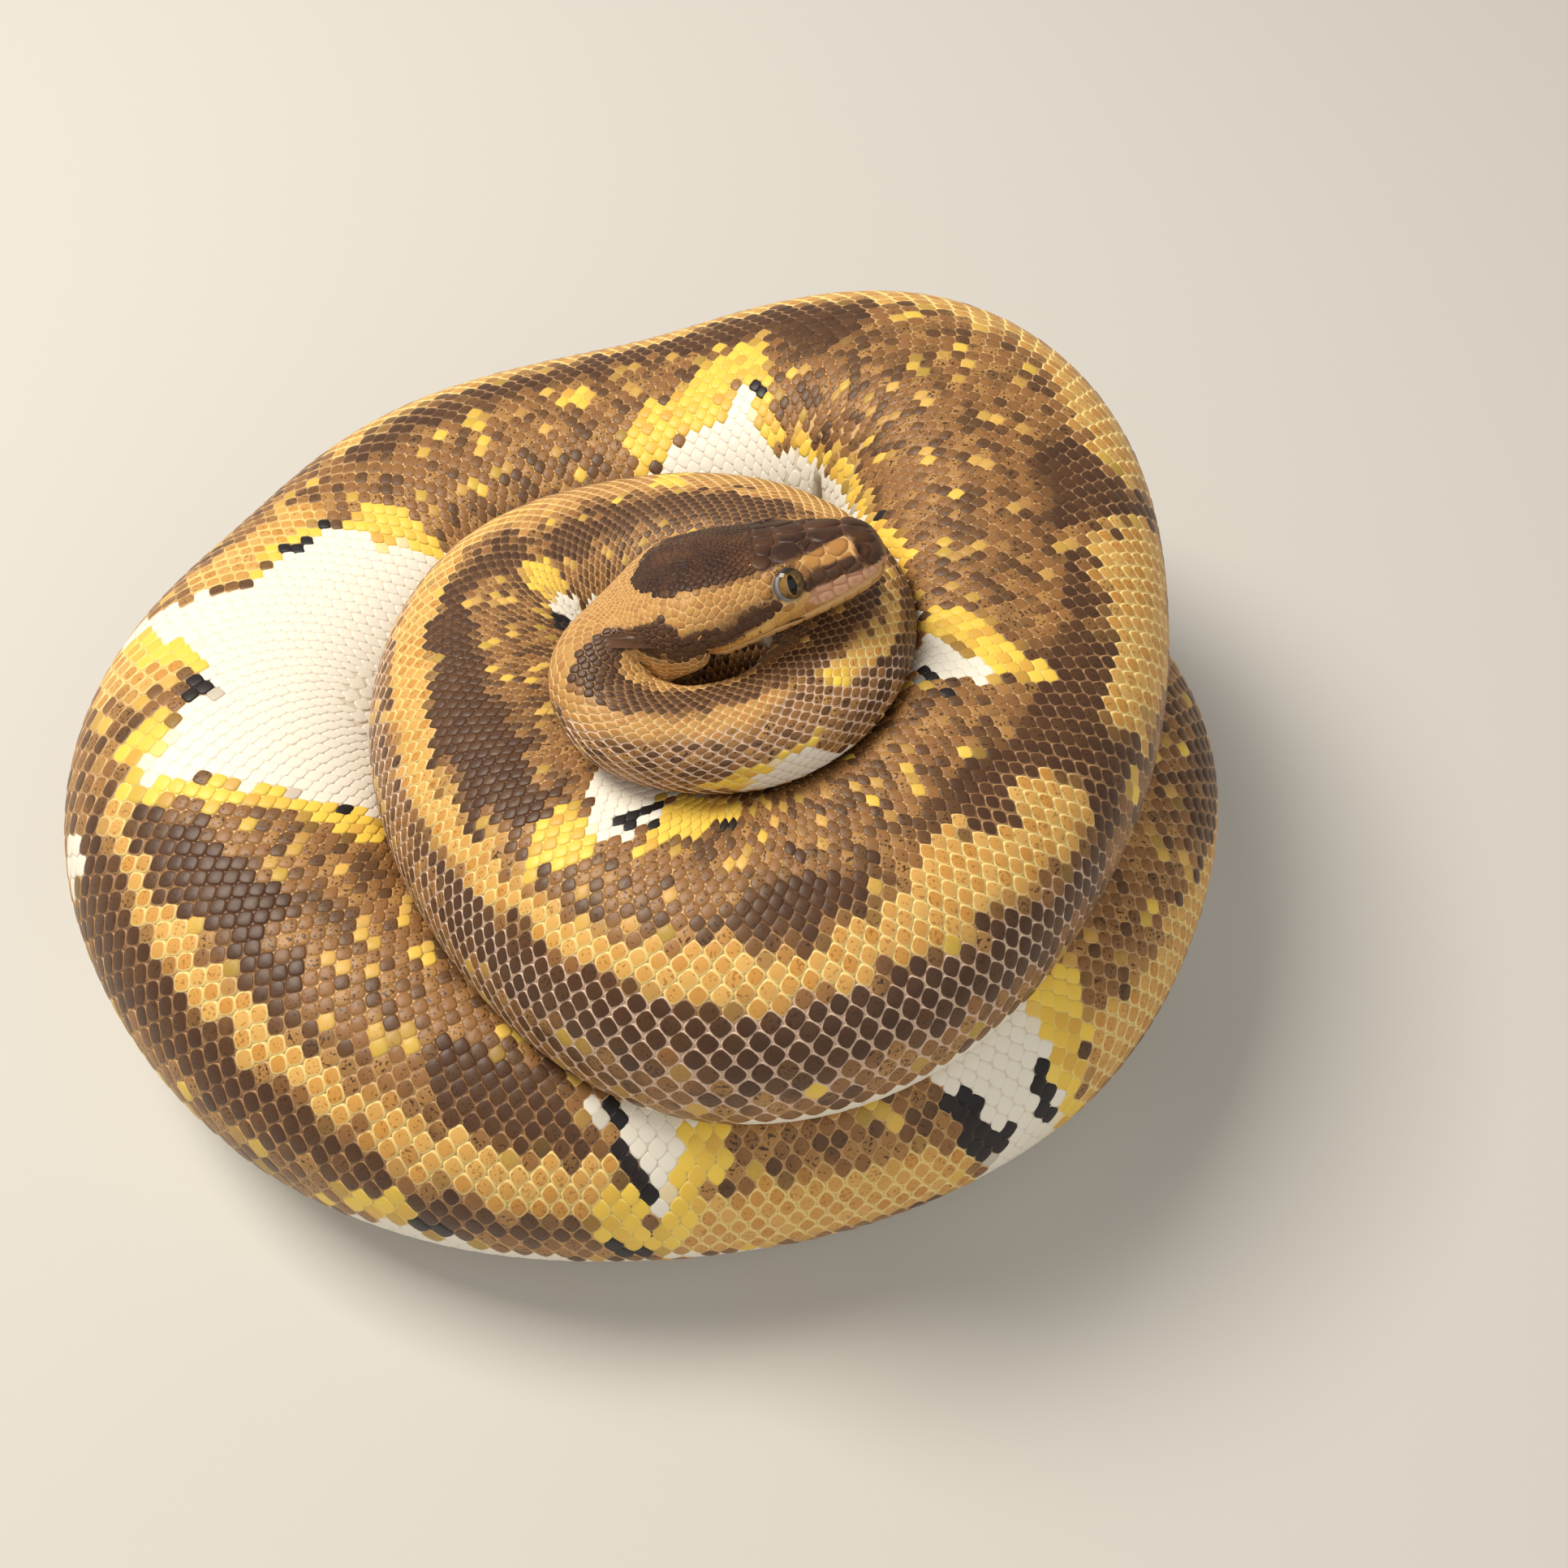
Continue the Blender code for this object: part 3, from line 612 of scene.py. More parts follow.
def meshPiece(name, points, faces, bakeMap, fields, material):
    # faces is a list of whole-number tables, one for each count of corners
    counts = np.concatenate([np.full(len(table), table.shape[1]) for table in faces])
    corners = np.concatenate([table.ravel() for table in faces]).astype(np.int32)
    mesh = bpy.data.meshes.new(name)
    mesh.vertices.add(len(points))
    mesh.vertices.foreach_set("co", (np.asarray(points) * mm).astype(np.float32).ravel())
    mesh.loops.add(len(corners))
    mesh.loops.foreach_set("vertex_index", corners)
    mesh.polygons.add(len(counts))
    mesh.polygons.foreach_set("loop_start", np.r_[0, np.cumsum(counts)[:-1]].astype(np.int32))
    mesh.update(calc_edges=True)
    mesh.uv_layers.new(name="OFBake").data.foreach_set("uv", bakeMap(corners).astype(np.float32).ravel())
    for field, values in fields.items():
        painted = mesh.attributes.new(field, "FLOAT_COLOR", "POINT")
        painted.data.foreach_set("color", np.asarray(values, np.float32).ravel())
    mesh.shade_smooth()
    mesh.materials.append(material)
    mesh.validate()
    piece = bpy.data.objects.new(name, mesh)
    bpy.context.scene.collection.objects.link(piece)
    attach(piece, "root")
    return piece


def markFields(found):
    blank = np.zeros_like(found["gold"])
    return {
        "marksA": np.stack([found["gold"], found["yellow"], found["white"], blank], -1),
        "marksB": np.stack([found["dark"], found["black"], found["tan"], found["pink"]], -1),
        "marksC": np.stack([found["crown"], found["pale"], found.get("fleck", blank), blank], -1),
    }


# folds of the head: lips, lids and nostrils
eyeShape = {"radius": 3.0, "back": 16.4, "out": 8.1, "up": 2.2, "looks": (0.10, 1.0, 0.30), "opening": 2.45}
lidShape = {
    # places are distances from the middle of the eye
    "rimPlace": 3.1, "rimWidth": 0.75, "rimHeight": 0.34, "rimAbove": 0.20,
    "browPlace": 4.2, "browWidth": 1.2, "browHeight": 0.35, "browDrop": 0.35,
    "hollowPlace": 5.2, "hollowWidth": 0.9, "hollowDepth": 0.25, "reach": 6.5,
    "bedDepth": 0.9, "edgeWidth": 0.45, "edgeOut": 0.1,
}
lipShape = {
    "depth": 0.6, "width": 0.30, "swell": 0.22, "swellPlace": 1.2, "swellWidth": 0.8, "swellEnds": 26.0,
    "swellFades": 10.0, "corner": 30.5, "cornerFades": 2.5,
}
nostrilShape = {
    "run": 3.4, "turn": 59.0, "radius": 0.55, "depth": 0.8,
    "rimPlace": 2.0, "rimWidth": 0.7, "rimHeight": 0.16,
}


def eyeFrame(side):
    # the middle of an eye and the way it looks; side is 1 for the right one
    middle = onHead(eyeShape["back"], side * eyeShape["out"], eyeShape["up"])
    ahead, out, up = eyeShape["looks"]
    return middle, unit(ahead * headAhead + side * out * headRight + up * headUp)


def mouthGap(points):
    # height over the mouth line, how far back and how far out to the right
    back, right, up = headPlace(points)
    return up - tableAt(back, headShape["mouth"]), back, right


def ridge(off, place, width):
    # 1 at that distance, falling away on both sides
    return np.exp(-((off - place) / width) ** 2)


def lidLift(points, side):
    # how far the skin rises round an eye, and sinks to make room for its ball
    middle, looks = eyeFrame(side)
    away = points - middle
    height = away @ looks
    off = np.linalg.norm(away - height[..., None] * looks, axis=-1)
    over = np.clip((away @ headUp) / np.maximum(off, 0.5), -1, 1)
    near = (height > 0) & (off < lidShape["reach"])
    off = off + lidShape["browDrop"] * over
    rim = ridge(off, lidShape["rimPlace"], lidShape["rimWidth"])
    rim = rim * (lidShape["rimHeight"] + lidShape["rimAbove"] * over)
    brow = ridge(off, lidShape["browPlace"], lidShape["browWidth"])
    brow = brow * lidShape["browHeight"] * np.clip(over, 0, 1)
    hollow = ridge(off, lidShape["hollowPlace"], lidShape["hollowWidth"]) * np.clip(-over, 0, 1)
    bed = np.sqrt(np.maximum(eyeShape["radius"] ** 2 - off ** 2, 0)) - lidShape["bedDepth"]
    inside = blend((eyeShape["opening"] + lidShape["edgeOut"] - off) / lidShape["edgeWidth"])
    raised = rim + brow - lidShape["hollowDepth"] * hollow
    return near * (raised + inside * np.minimum(bed - height, 0))


def foldedHead(skinMap):
    points = skinMap.points
    gap, back, _ = mouthGap(points)
    groove = ridge(gap, 0.0, lipShape["width"]) * lipShape["depth"]
    swell = ridge(np.abs(gap), lipShape["swellPlace"], lipShape["swellWidth"]) * lipShape["swell"]
    swell = swell * np.clip((lipShape["swellEnds"] - back) / lipShape["swellFades"], 0, 1)
    lift = np.clip((lipShape["corner"] - back) / lipShape["cornerFades"], 0, 1) * (swell - groove)
    for side in (-1, 1):
        lift = lift + lidLift(points, side)
        place = [np.array([value]) for value in (nostrilShape["run"], side * nostrilShape["turn"], 0.0)]
        off = np.linalg.norm(points - skinMap.lifted(*place)[0], axis=-1) / nostrilShape["radius"]
        lift = lift - nostrilShape["depth"] * ridge(off, 0.0, 1.0)
        rim = ridge(off, nostrilShape["rimPlace"], nostrilShape["rimWidth"])
        lift = lift + nostrilShape["rimHeight"] * rim
    skinMap.points = points + lift[..., None] * skinMap.normals
    skinMap.face()


foldedHead(headMap)
print("head folded")

# the skin
skinLook = {
    # run, how deep the skin lies there under the surface of the coat
    "depth": ((0, 0.30), (40, 0.30), (90, 0.34), (200, 0.46), (900, 0.42), (1154, 0.25)),
    # points round a ring on the head and behind it, and the distance from ring to ring
    "headAround": 192, "around": 96, "headEnds": 46.0,
    "neckStep": 0.95, "trunkStarts": 150.0, "trunkStep": 1.36,
    "tailTip": 1.6, "snoutTip": 0.35, "headCrisp": 0.5, "crisp": 1.2,
}


def skinDepth(run):
    return tableAt(run, skinLook["depth"])


def snoutFade(run):
    # the coat thins out to nothing at the tip of the snout
    return blend((run + 0.2) / 1.6)


def skinRings():
    # runs of the rings from the snout to the tail tip, close together on the head
    starts = skinLook["trunkStarts"]
    headRuns = headMap.run[headMap.run <= skinLook["headEnds"] + 0.01]
    neckRuns = np.arange(skinLook["headEnds"] + 0.9, starts, skinLook["neckStep"])
    trunkRuns = np.linspace(starts + 0.4, tailEnd, int((tailEnd - starts) / skinLook["trunkStep"]))
    return headRuns, np.r_[neckRuns, trunkRuns]


def bodySkin(material):
    headRuns, bodyRuns = skinRings()
    fine, coarse = skinLook["headAround"], skinLook["around"]
    runsA, turnsA = gridOf(headRuns, np.arange(fine) * 360.0 / fine)
    runsB, turnsB = gridOf(bodyRuns, np.arange(coarse) * 360.0 / coarse)
    partA = headMap.lifted(runsA, turnsA, -skinDepth(runsA) * snoutFade(runsA))
    partB = bodyMap.lifted(runsB, turnsB, -skinDepth(runsB))
    partB[:, 2] = np.maximum(partB[:, 2], 0.05)
    snout = partA[:fine].mean(0) + skinLook["snoutTip"] * headAhead
    last = partB[-coarse:].mean(0)
    tail = last + skinLook["tailTip"] * unit(last - partB[-2 * coarse:-coarse].mean(0))
    points = np.vstack([partA, partB, snout, tail])
    run, turn = np.r_[runsA, runsB, 0, tailEnd], np.r_[turnsA, turnsB, 0, 0]
    start = len(partA)
    joint = start - fine
    j = np.arange(coarse)
    k = (j + 1) % coarse
    meeting = np.stack([joint + 2 * k, joint + 2 * j + 1, joint + 2 * j, start + j, start + k], 1)
    faces = [
        wallFaces(len(headRuns), fine)[:, ::-1], meeting, start + wallFaces(len(bodyRuns), coarse)[:, ::-1],
        fanFaces(0, fine, len(points) - 2),
        fanFaces(start + len(partB) - coarse, coarse, len(points) - 1)[:, ::-1],
    ]

    def bakeMap(corners):
        # each face keeps to one strip and to one side of the seam under the belly
        placed = []
        first = 0
        for table in faces:
            own = corners[first:first + table.size].reshape(table.shape)
            first += table.size
            runs, turns = run[own], (turn[own] + 180.0) % 360.0
            overSeam = (turns.max(1) - turns.min(1) > 180)[:, None] & (turns < 180)
            strip = np.clip(runs.mean(1) // (bodyLength / 3.0), 0, 2)[:, None]
            placed.append(flatPlace(runs, np.where(overSeam, turns + 360.0, turns), strip).reshape(-1, 2))
        return np.vstack(placed)

    crisp = np.where(run < skinLook["headEnds"], skinLook["headCrisp"], skinLook["crisp"])
    fields = markFields(marksAt(run, turn, crisp))
    plain = np.ones(len(points))
    fields["scaleForm"] = np.stack([plain, 0.5 * plain, 0.5 * plain, rimAt(run, turn)], 1)
    skin = meshPiece("python_skin", points, faces, bakeMap, fields, material)
    flesh = [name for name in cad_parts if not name.startswith("eye_")]
    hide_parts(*flesh)
    print("skin made")


# the scales
scaleLook = {
    # run, length of a scale there
    "lengths": (
        (60, 1.9), (90, 2.08), (130, 2.0), (210, 1.95), (280, 2.12), (312, 2.15), (360, 2.45), (405, 2.85),
        (450, 2.95), (560, 3.0), (640, 3.0), (707, 2.78), (750, 2.67), (830, 2.45), (900, 2.25),
        (1000, 1.95), (1100, 1.5), (1154, 1.0),
    ),
    # run, how much of its place a scale covers, and how much of its rim shows on the flank and on the back
    "cover": ((46, 0.86, 0.3, 0.3), (62, 0.92, 0.55, 0.55), (110, 0.94, 0.6, 0.55), (170, 0.96, 0.6, 0.45),
              (260, 1.0, 0.5, 0.25)),
    "backEnds": 22.0, "backFades": 30.0,
    "flankEnds": 137.0, "neckStarts": 60.0, "trunkStarts": 130.0,
    "round": 1.5, "taper": 0.12, "long": 1.02, "wide": 0.78, "dome": 0.15, "tipRise": 0.15, "lip": 0.04,
    "sunk": 0.10, "uneven": 0.04,
    # a scale of the full length is as thick as the values above say, a short one is thinner
    "thinnest": 0.35, "fullLength": 2.6, "thickest": 1.1, "whiteFlat": 0.55,
    # turns from row to row at turn 0, 35, 60, 90 and where the belly starts
    "headRows": (4.0, 4.2, 4.6, 5.4, 6.5), "neckRows": (6.4, 6.8, 7.2, 7.8, 8.4),
    "trunkRows": (4.4, 4.5, 5.0, 6.8, 7.8),
    # inside a bend, every second or every fourth scale is left where the skin is this much shorter
    "halved": 0.56, "quartered": 0.28,
    # chance of a light fleck, how it swings over the body, and where the flecks begin
    "fleckChance": 0.10, "fleckSwing": 0.30, "fleckSize": 6.0, "fleckLeast": 0.02, "fleckMost": 0.6,
    "fleckFrom": ((110, 0.3), (200, 1.0)), "fleckInDark": 0.3,
    # most triangles in one piece, and how far round the body a scale is seen from above
    "most": 180000, "seenTurn": 122.0, "seenRun": 790.0,
    # points round a scale and the shares of its outline that its rings have, seen and unseen
    "seenMake": (14, (1.0, 0.95, 0.72)), "unseenMake": (10, (1.0, 0.9)),
    "crisp": 1.4, "bakePatch": 0.0015,
}


def lengthAt(run):
    return tableAt(run, scaleLook["lengths"])


def rimAt(run, turn):
    # how much of a scale's rim shows, most on the neck
    flank = blend((np.abs(foldedTurn(turn)) - scaleLook["backEnds"]) / scaleLook["backFades"])
    return tableAt(run, scaleLook["cover"], 2) * flank + tableAt(run, scaleLook["cover"], 3) * (1 - flank)


def rowTurns(steps):
    # the rows are closest along the back and widen down the flank
    ends = scaleLook["flankEnds"]
    turns, at = [0.0], 0.0
    while at < ends - 5:
        at += np.interp(at, (0, 35, 60, 90, ends), steps)
        turns.append(at)
    turns = np.array(turns) * (ends - 3.5) / at
    return np.r_[-turns[:0:-1], turns]


def columnRuns(step=0.25):
    fine = np.arange(20.0, tailEnd - 1.5, step)
    count = np.cumsum(step / lengthAt(fine))
    whole = np.arange(1, 2 * int(count[-1])) / 2.0
    return np.interp(whole, count, fine)


allColumns = columnRuns()


def crowdedAt(run, turn):
    # 1 where the skin lies free, 2 or 4 where the inside of a bend crowds that many scales into one place
    flat = np.zeros(len(run))
    step = bodyMap.lifted(run + 1.0, turn, flat) - bodyMap.lifted(run - 1.0, turn, flat)
    stretch = np.linalg.norm(step, axis=1) / 2.0
    return np.where(stretch > scaleLook["halved"], 1, np.where(stretch > scaleLook["quartered"], 2, 4))


def scaleRoots(steps, first, last):
    # every other place of the rows, like bricks, with the turn from row to row there and its crowding
    rows = rowTurns(steps)
    widths = np.gradient(rows)
    places = np.flatnonzero((allColumns > first) & (allColumns <= last))
    found = []
    for k, turn in enumerate(rows):
        own = places[(places + k) % 2 == 0]
        crowd = crowdedAt(allColumns[own], np.full(len(own), turn))
        kept = (own // 2 + (k % 2) * crowd // 2) % crowd == 0
        own, crowd = own[kept], crowd[kept]
        one = np.ones(len(own))
        found.append(np.stack([allColumns[own], turn * one, widths[k] * one, crowd], 1))
    return np.concatenate(found).T


def fleckAt(runs, turns, found, dice):
    # light scales strewn over the brown, thicker in some places
    swing = wander(runs, turns, scaleLook["fleckSize"], 11) - 0.25
    chance = scaleLook["fleckChance"] + scaleLook["fleckSwing"] * swing
    chance = np.clip(chance, scaleLook["fleckLeast"], scaleLook["fleckMost"])
    chance = chance * tableAt(runs, scaleLook["fleckFrom"])
    chance = chance * (1 - (1 - scaleLook["fleckInDark"]) * found["dark"])
    return (dice[:, 3] < chance) * (0.35 + 0.65 * dice[:, 4])


def scaleCoat(runs, turns, halfWide, crowd, make, seed):
    # points, faces, bake map and fields of many scales at once
    around, rings = make
    dice = np.random.default_rng(seed).random((len(runs), 6))
    angle = np.arange(around) * 2 * np.pi / around
    power = 2.0 / scaleLook["round"]
    u = np.sign(np.cos(angle)) * np.abs(np.cos(angle)) ** power
    v = np.sign(np.sin(angle)) * np.abs(np.sin(angle)) ** power * (1 - scaleLook["taper"] * u)
    length, full = lengthAt(runs)[:, None], tableAt(runs, scaleLook["cover"])[:, None]
    uneven = scaleLook["uneven"]
    halfLong = 0.5 * length * scaleLook["long"] * (1 - uneven + 2 * uneven * dice[:, :1]) * full
    halfLong = halfLong * crowd[:, None]
    wide = halfWide[:, None] * scaleLook["wide"] * (1 - uneven + 2 * uneven * dice[:, 1:2]) * full
    rootRun = runs[:, None] + 0.06 * halfLong + uneven * length * (dice[:, 4:5] - 0.5)
    rootTurn = turns[:, None] + 2 * uneven * halfWide[:, None] * (dice[:, 5:6] - 0.5)
    found = marksAt(runs, turns, scaleLook["crisp"])
    found["fleck"] = fleckAt(runs, turns, found, dice)
    thinnest = scaleLook["thinnest"]
    high = thinnest + (1 - thinnest) * np.minimum(length / scaleLook["fullLength"], scaleLook["thickest"])
    high = high * (1 - scaleLook["whiteFlat"] * found["white"][:, None])
    tipRise = scaleLook["tipRise"] * (0.7 + 0.6 * dice[:, 2:3])
    depth = skinDepth(runs)[:, None]
    points, shapes = [], []
    for order, share in enumerate((*rings, 0.0)):
        run, turn = rootRun + halfLong * u * share, rootTurn + wide * v * share
        rise = scaleLook["lip"] + tipRise * (0.5 + 0.5 * u * share) + scaleLook["dome"] * (1 - share ** 4)
        if order == 0:
            rise = np.full(run.shape, -scaleLook["sunk"])
        if share == 0:
            run, turn, rise = run[:, :1], turn[:, :1], rise[:, :1]
        points.append(bodyMap.lifted(run, turn, np.minimum(rise * high, depth + 0.05) - depth))
        shapes.append(np.full(run.shape, share))
    points, shapes = np.concatenate(points, 1), np.concatenate(shapes, 1)
    points[..., 2] = np.maximum(points[..., 2], 0.0)
    each = points.shape[1]
    fields = markFields({name: np.repeat(values, each) for name, values in found.items()})
    own = (dice[:, :1], dice[:, 1:2], rimAt(runs, turns)[:, None])
    form = np.stack([shapes, *(np.repeat(values, each, 1) for values in own)], -1)
    fields["scaleForm"] = form.reshape(-1, 4)
    patch = np.concatenate([np.stack([u * share, v * share], 1) for share in rings] + [np.zeros((1, 2))])
    uv = (flatUnwrap(runs, turns)[:, None] + scaleLook["bakePatch"] * patch[None]).reshape(-1, 2)
    return points.reshape(-1, 3), scaleFaces(len(rings), around, len(runs)), uv, fields


def trunkScales(material):
    lots = (scaleRoots(scaleLook["neckRows"], scaleLook["neckStarts"], scaleLook["trunkStarts"]),
            scaleRoots(scaleLook["trunkRows"], scaleLook["trunkStarts"], tailEnd))
    runs, turns, halfWide, crowd = (np.concatenate([lot[c] for lot in lots]) for c in range(4))
    seen = (runs < scaleLook["seenRun"]) & (np.abs(turns) < scaleLook["seenTurn"])
    order = 0
    for chosen, make in ((seen, scaleLook["seenMake"]), (~seen, scaleLook["unseenMake"])):
        triangles = make[0] * (2 * len(make[1]) - 1)
        places = np.flatnonzero(chosen)
        places = places[np.argsort(runs[places], kind="stable")]
        for own in np.array_split(places, int(np.ceil(len(places) * triangles / scaleLook["most"]))):
            order += 1
            made = scaleCoat(runs[own], turns[own], halfWide[own], crowd[own], make, 100 + order)
            points, faces, uv, fields = made
            name = f"trunk_scales_{order:02d}"
            meshPiece(name, points, faces, lambda corners: uv[corners], fields, material)
            print(name, len(own), "scales", len(own) * triangles, "triangles")


scuteLook = {
    "across": 13, "overlap": 1.16, "bow": 0.25, "edgeIn": 1.0, "rim": 0.3, "crisp": 1.0,
    # along a scute from its front edge to its back edge: place and height
    "profile": ((-1.0, -0.08), (-0.96, 0.03), (0.2, 0.12), (0.94, 0.24), (1.0, -0.08)),
}


def bellyScutes(material):
    # broad plates across the belly, one to each column of scales
    edge = scaleLook["flankEnds"] - scuteLook["edgeIn"]
    runs = allColumns[allColumns > headPlates["ends"]][::2]
    across = np.linspace(edge, 360 - edge, scuteLook["across"])
    halfLong = 0.5 * np.gradient(runs) * scuteLook["overlap"]
    bow = 1 - ((across - 180) / (180 - edge)) ** 2
    grid, shapes = [], []
    for share, high in scuteLook["profile"]:
        run = runs[:, None] + halfLong[:, None] * share + scuteLook["bow"] * halfLong[:, None] * bow
        depth = skinDepth(run)
        lift = high * np.clip(depth / 0.46, 0.4, 1) * np.clip(bow * 9, 0.0, 1) - depth
        grid.append(bodyMap.lifted(run, np.broadcast_to(across, run.shape), lift))
        shapes.append(np.full(run.shape, abs(share)))
    grid = np.stack(grid, 1)
    grid[..., 2] = np.maximum(grid[..., 2], 0.0)
    count, rows, columns, _ = grid.shape
    each = rows * columns
    first = (np.arange(count) * each)[:, None, None]
    faces = [(wallFaces(rows, columns, False)[None] + first).reshape(-1, 4)]
    dice = np.repeat(np.random.default_rng(5).random((count, 3)), each, 0)
    fields = markFields(marksAt(np.repeat(runs, each), np.tile(across, rows * count), scuteLook["crisp"]))
    form = np.stack(shapes, 1).reshape(-1, 1)
    fields["scaleForm"] = np.concatenate([form, dice[:, :2], np.full((len(form), 1), scuteLook["rim"])], 1)
    patch = np.stack(gridOf(np.linspace(-1, 1, rows), np.linspace(-1, 1, columns)), -1)
    uv = flatUnwrap(runs, np.full(count, 180.0))[:, None] + scaleLook["bakePatch"] * patch[None]
    uv = uv.reshape(-1, 2)
    points = grid.reshape(-1, 3)
    meshPiece("belly_scutes", points, faces, lambda corners: uv[corners], fields, material)
    print("belly", count, "scutes")


# the plates of head and jaw
headPlates = {
    # seats of the large plates on one side: run, turn, radius
    "large": (
        (3.0, 21, 2.3), (3.6, 59, 1.5), (2.0, 82, 1.1), (8.2, 17, 2.6), (7.4, 44, 1.9), (10.4, 43, 1.6),
        (12.2, 33, 1.2), (13.9, 12, 2.2), (15.0, 38, 2.5), (18.2, 11, 1.8), (18.6, 30, 1.5),
        (19.6, 46, 1.4), (6.2, 68, 1.4), (9.0, 62, 1.3), (11.4, 58, 1.2), (8.6, 76, 1.3), (11.2, 73, 1.2),
        (5.6, 82, 1.2), (8.2, 88, 1.1), (10.8, 86, 1.1),
    ),
    # runs of the lip plates, and how many of the upper ones have a pit
    "upperLip": (3.3, 5.9, 8.5, 11.1, 13.7, 16.3, 18.9, 21.5, 24.1, 26.7, 29.2),
    "lowerLip": (2.6, 5.0, 7.4, 9.8, 12.2, 14.6, 17.0, 19.4, 21.8, 24.2, 26.6, 29.0),
    "pitted": 4, "pitDepth": 0.35, "lipReach": 1.55, "lipRadius": 1.45,
    "eyeRing": 9, "eyeRingOut": 3.55, "eyeRingRadius": 0.95,
    # small scales behind the plates: first run, first and last step, how many, radius, how uneven they lie
    "smallFrom": 20.6, "smallSteps": (0.68, 0.84), "smallCount": 36, "smallRadius": 0.75, "napeRadius": 0.95,
    "uneven": 0.24, "unevenTurns": 4.5, "unevenEnds": 40.0,
    # paving of the chin, the cheeks and the throat: first and last run, step, first and last turn,
    # step, how far every other row is moved, radius, whether the other side has it too
    "paving": (
        (2.4, 9.0, 1.75, 134, 227, 24.0, 8, 1.0, False), (9.4, 24.0, 1.75, 134, 227, 16.0, 8, 1.0, False),
        (13.0, 22.0, 1.55, 54, 98, 8.5, 4, 0.8, True), (24.5, 66.0, 1.9, 134, 227, 10.0, 5, 1.0, False),
    ),
    "gap": 0.04, "lipGap": 0.16, "dome": 0.09, "lift": 0.10, "edgeStep": 0.05, "sunk": 0.10, "around": 18,
    "rings": (1.0, 0.93, 0.6, 0.25), "ends": 60.0, "least": 0.28, "plain": 1.1, "crisp": 0.35,
    # how much of the rim shows on large plates and on small ones
    "largeRim": 0.0, "smallRim": 0.3, "bakePatch": 0.0012,
}


def spotsAt(run, turn):
    # places on the folded head, for lists of runs and turns
    return headMap.lifted(run, turn, np.zeros(len(run)))


def mouthTurn(run, above):
    # the turn at which the skin is that many millimetres above the mouth line, on the left side
    turns = np.linspace(70, 150, 161)
    gap = mouthGap(spotsAt(np.full(161, run), turns))[0]
    return float(np.interp(-above, -gap, turns))


def nearestSeat(spot):
    # the run and turn of the place on the head nearest to a point
    far = np.linalg.norm(headMap.points - spot, axis=2)
    i, j = np.unravel_index(far.argmin(), far.shape)
    turn = headMap.turn[j]
    return headMap.run[i], turn - 360.0 if turn > 180 else turn


def bothSeats(run, turn, radius, pit=0):
    return [(run, turn, radius, pit), (run, -turn, radius, pit)]


def namedSeats():
    # the plates that have a place of their own: on the snout, along the lips and round the eyes
    seats = []
    for run, turn, radius in headPlates["large"]:
        seats += bothSeats(run, turn, radius)
    reach, radius = headPlates["lipReach"], headPlates["lipRadius"]
    for k, run in enumerate(headPlates["upperLip"]):
        seats += bothSeats(run, mouthTurn(run, reach), radius, 1 if k < headPlates["pitted"] else 0)
    for run in headPlates["lowerLip"]:
        seats += bothSeats(run, mouthTurn(run, -reach), radius)
    for side in (-1, 1):
        middle, looks = eyeFrame(side)
        onward = unit(headAhead - (headAhead @ looks) * looks)
        upward = np.cross(onward, looks) * side
        for k in range(headPlates["eyeRing"]):
            way = 2 * np.pi * (k + 0.5) / headPlates["eyeRing"]
            out = headPlates["eyeRingOut"] * (np.cos(way) * onward + np.sin(way) * upward)
            seats.append((*nearestSeat(middle + 2.2 * looks + out), headPlates["eyeRingRadius"], 0))
    return seats


def smallSeats():
    # behind the plates the scales run on from the rows of the neck, below they pave the chin
    dice = np.random.default_rng(17)
    first, last = headPlates["smallSteps"]
    runs = np.cumsum(np.r_[headPlates["smallFrom"], np.linspace(first, last, headPlates["smallCount"])])
    seats = []
    for k, turn in enumerate(rowTurns(scaleLook["headRows"])):
        for order, run in enumerate(runs):
            if (order + k) % 2 == 0:
                stray = headPlates["uneven"] * dice.normal(0, 1, 2)
                stray = stray * (1 - blend((run - headPlates["unevenEnds"]) / 10))
                turned = turn + headPlates["unevenTurns"] * stray[1]
                seats.append((run + 0.7 * stray[0], turned, headPlates["smallRadius"], 0))
    nape = scaleRoots(scaleLook["neckRows"], runs[-1] + 0.7, scaleLook["neckStarts"] + 4)
    seats += [(run, turn, headPlates["napeRadius"], 0) for run, turn in zip(nape[0], nape[1])]
    for start, end, step, low, high, across, moved, radius, mirrored in headPlates["paving"]:
        for run in np.arange(start, end, step):
            for turn in np.arange(low + moved * (int(round(run / step)) % 2), high, across):
                seats += bothSeats(run, turn, radius) if mirrored else [(run, turn, radius, 0)]
    return seats


def plateSeats():
    # the small scales give way to the plates, the lips and the eyes
    named = namedSeats()
    radii = np.array(named)[:, 2]
    spots = spotsAt(*np.array(named)[:, :2].T)
    eyes = [eyeFrame(side)[0] for side in (-1, 1)]
    kept = []
    for seat in smallSeats():
        spot = spotsAt(np.array([seat[0]]), np.array([seat[1]]))[0]
        clash = (np.linalg.norm(spots - spot, axis=1) < radii + 0.55 * seat[2]).any()
        lipGap, back, _ = mouthGap(spot)
        onLip = back < 30.5 and abs(lipGap) < 2.4
        inEye = any(np.linalg.norm(spot - eye) < 4.6 for eye in eyes)
        if not (clash or onLip or inEye):
            kept.append(seat)
    return np.array(named + kept)


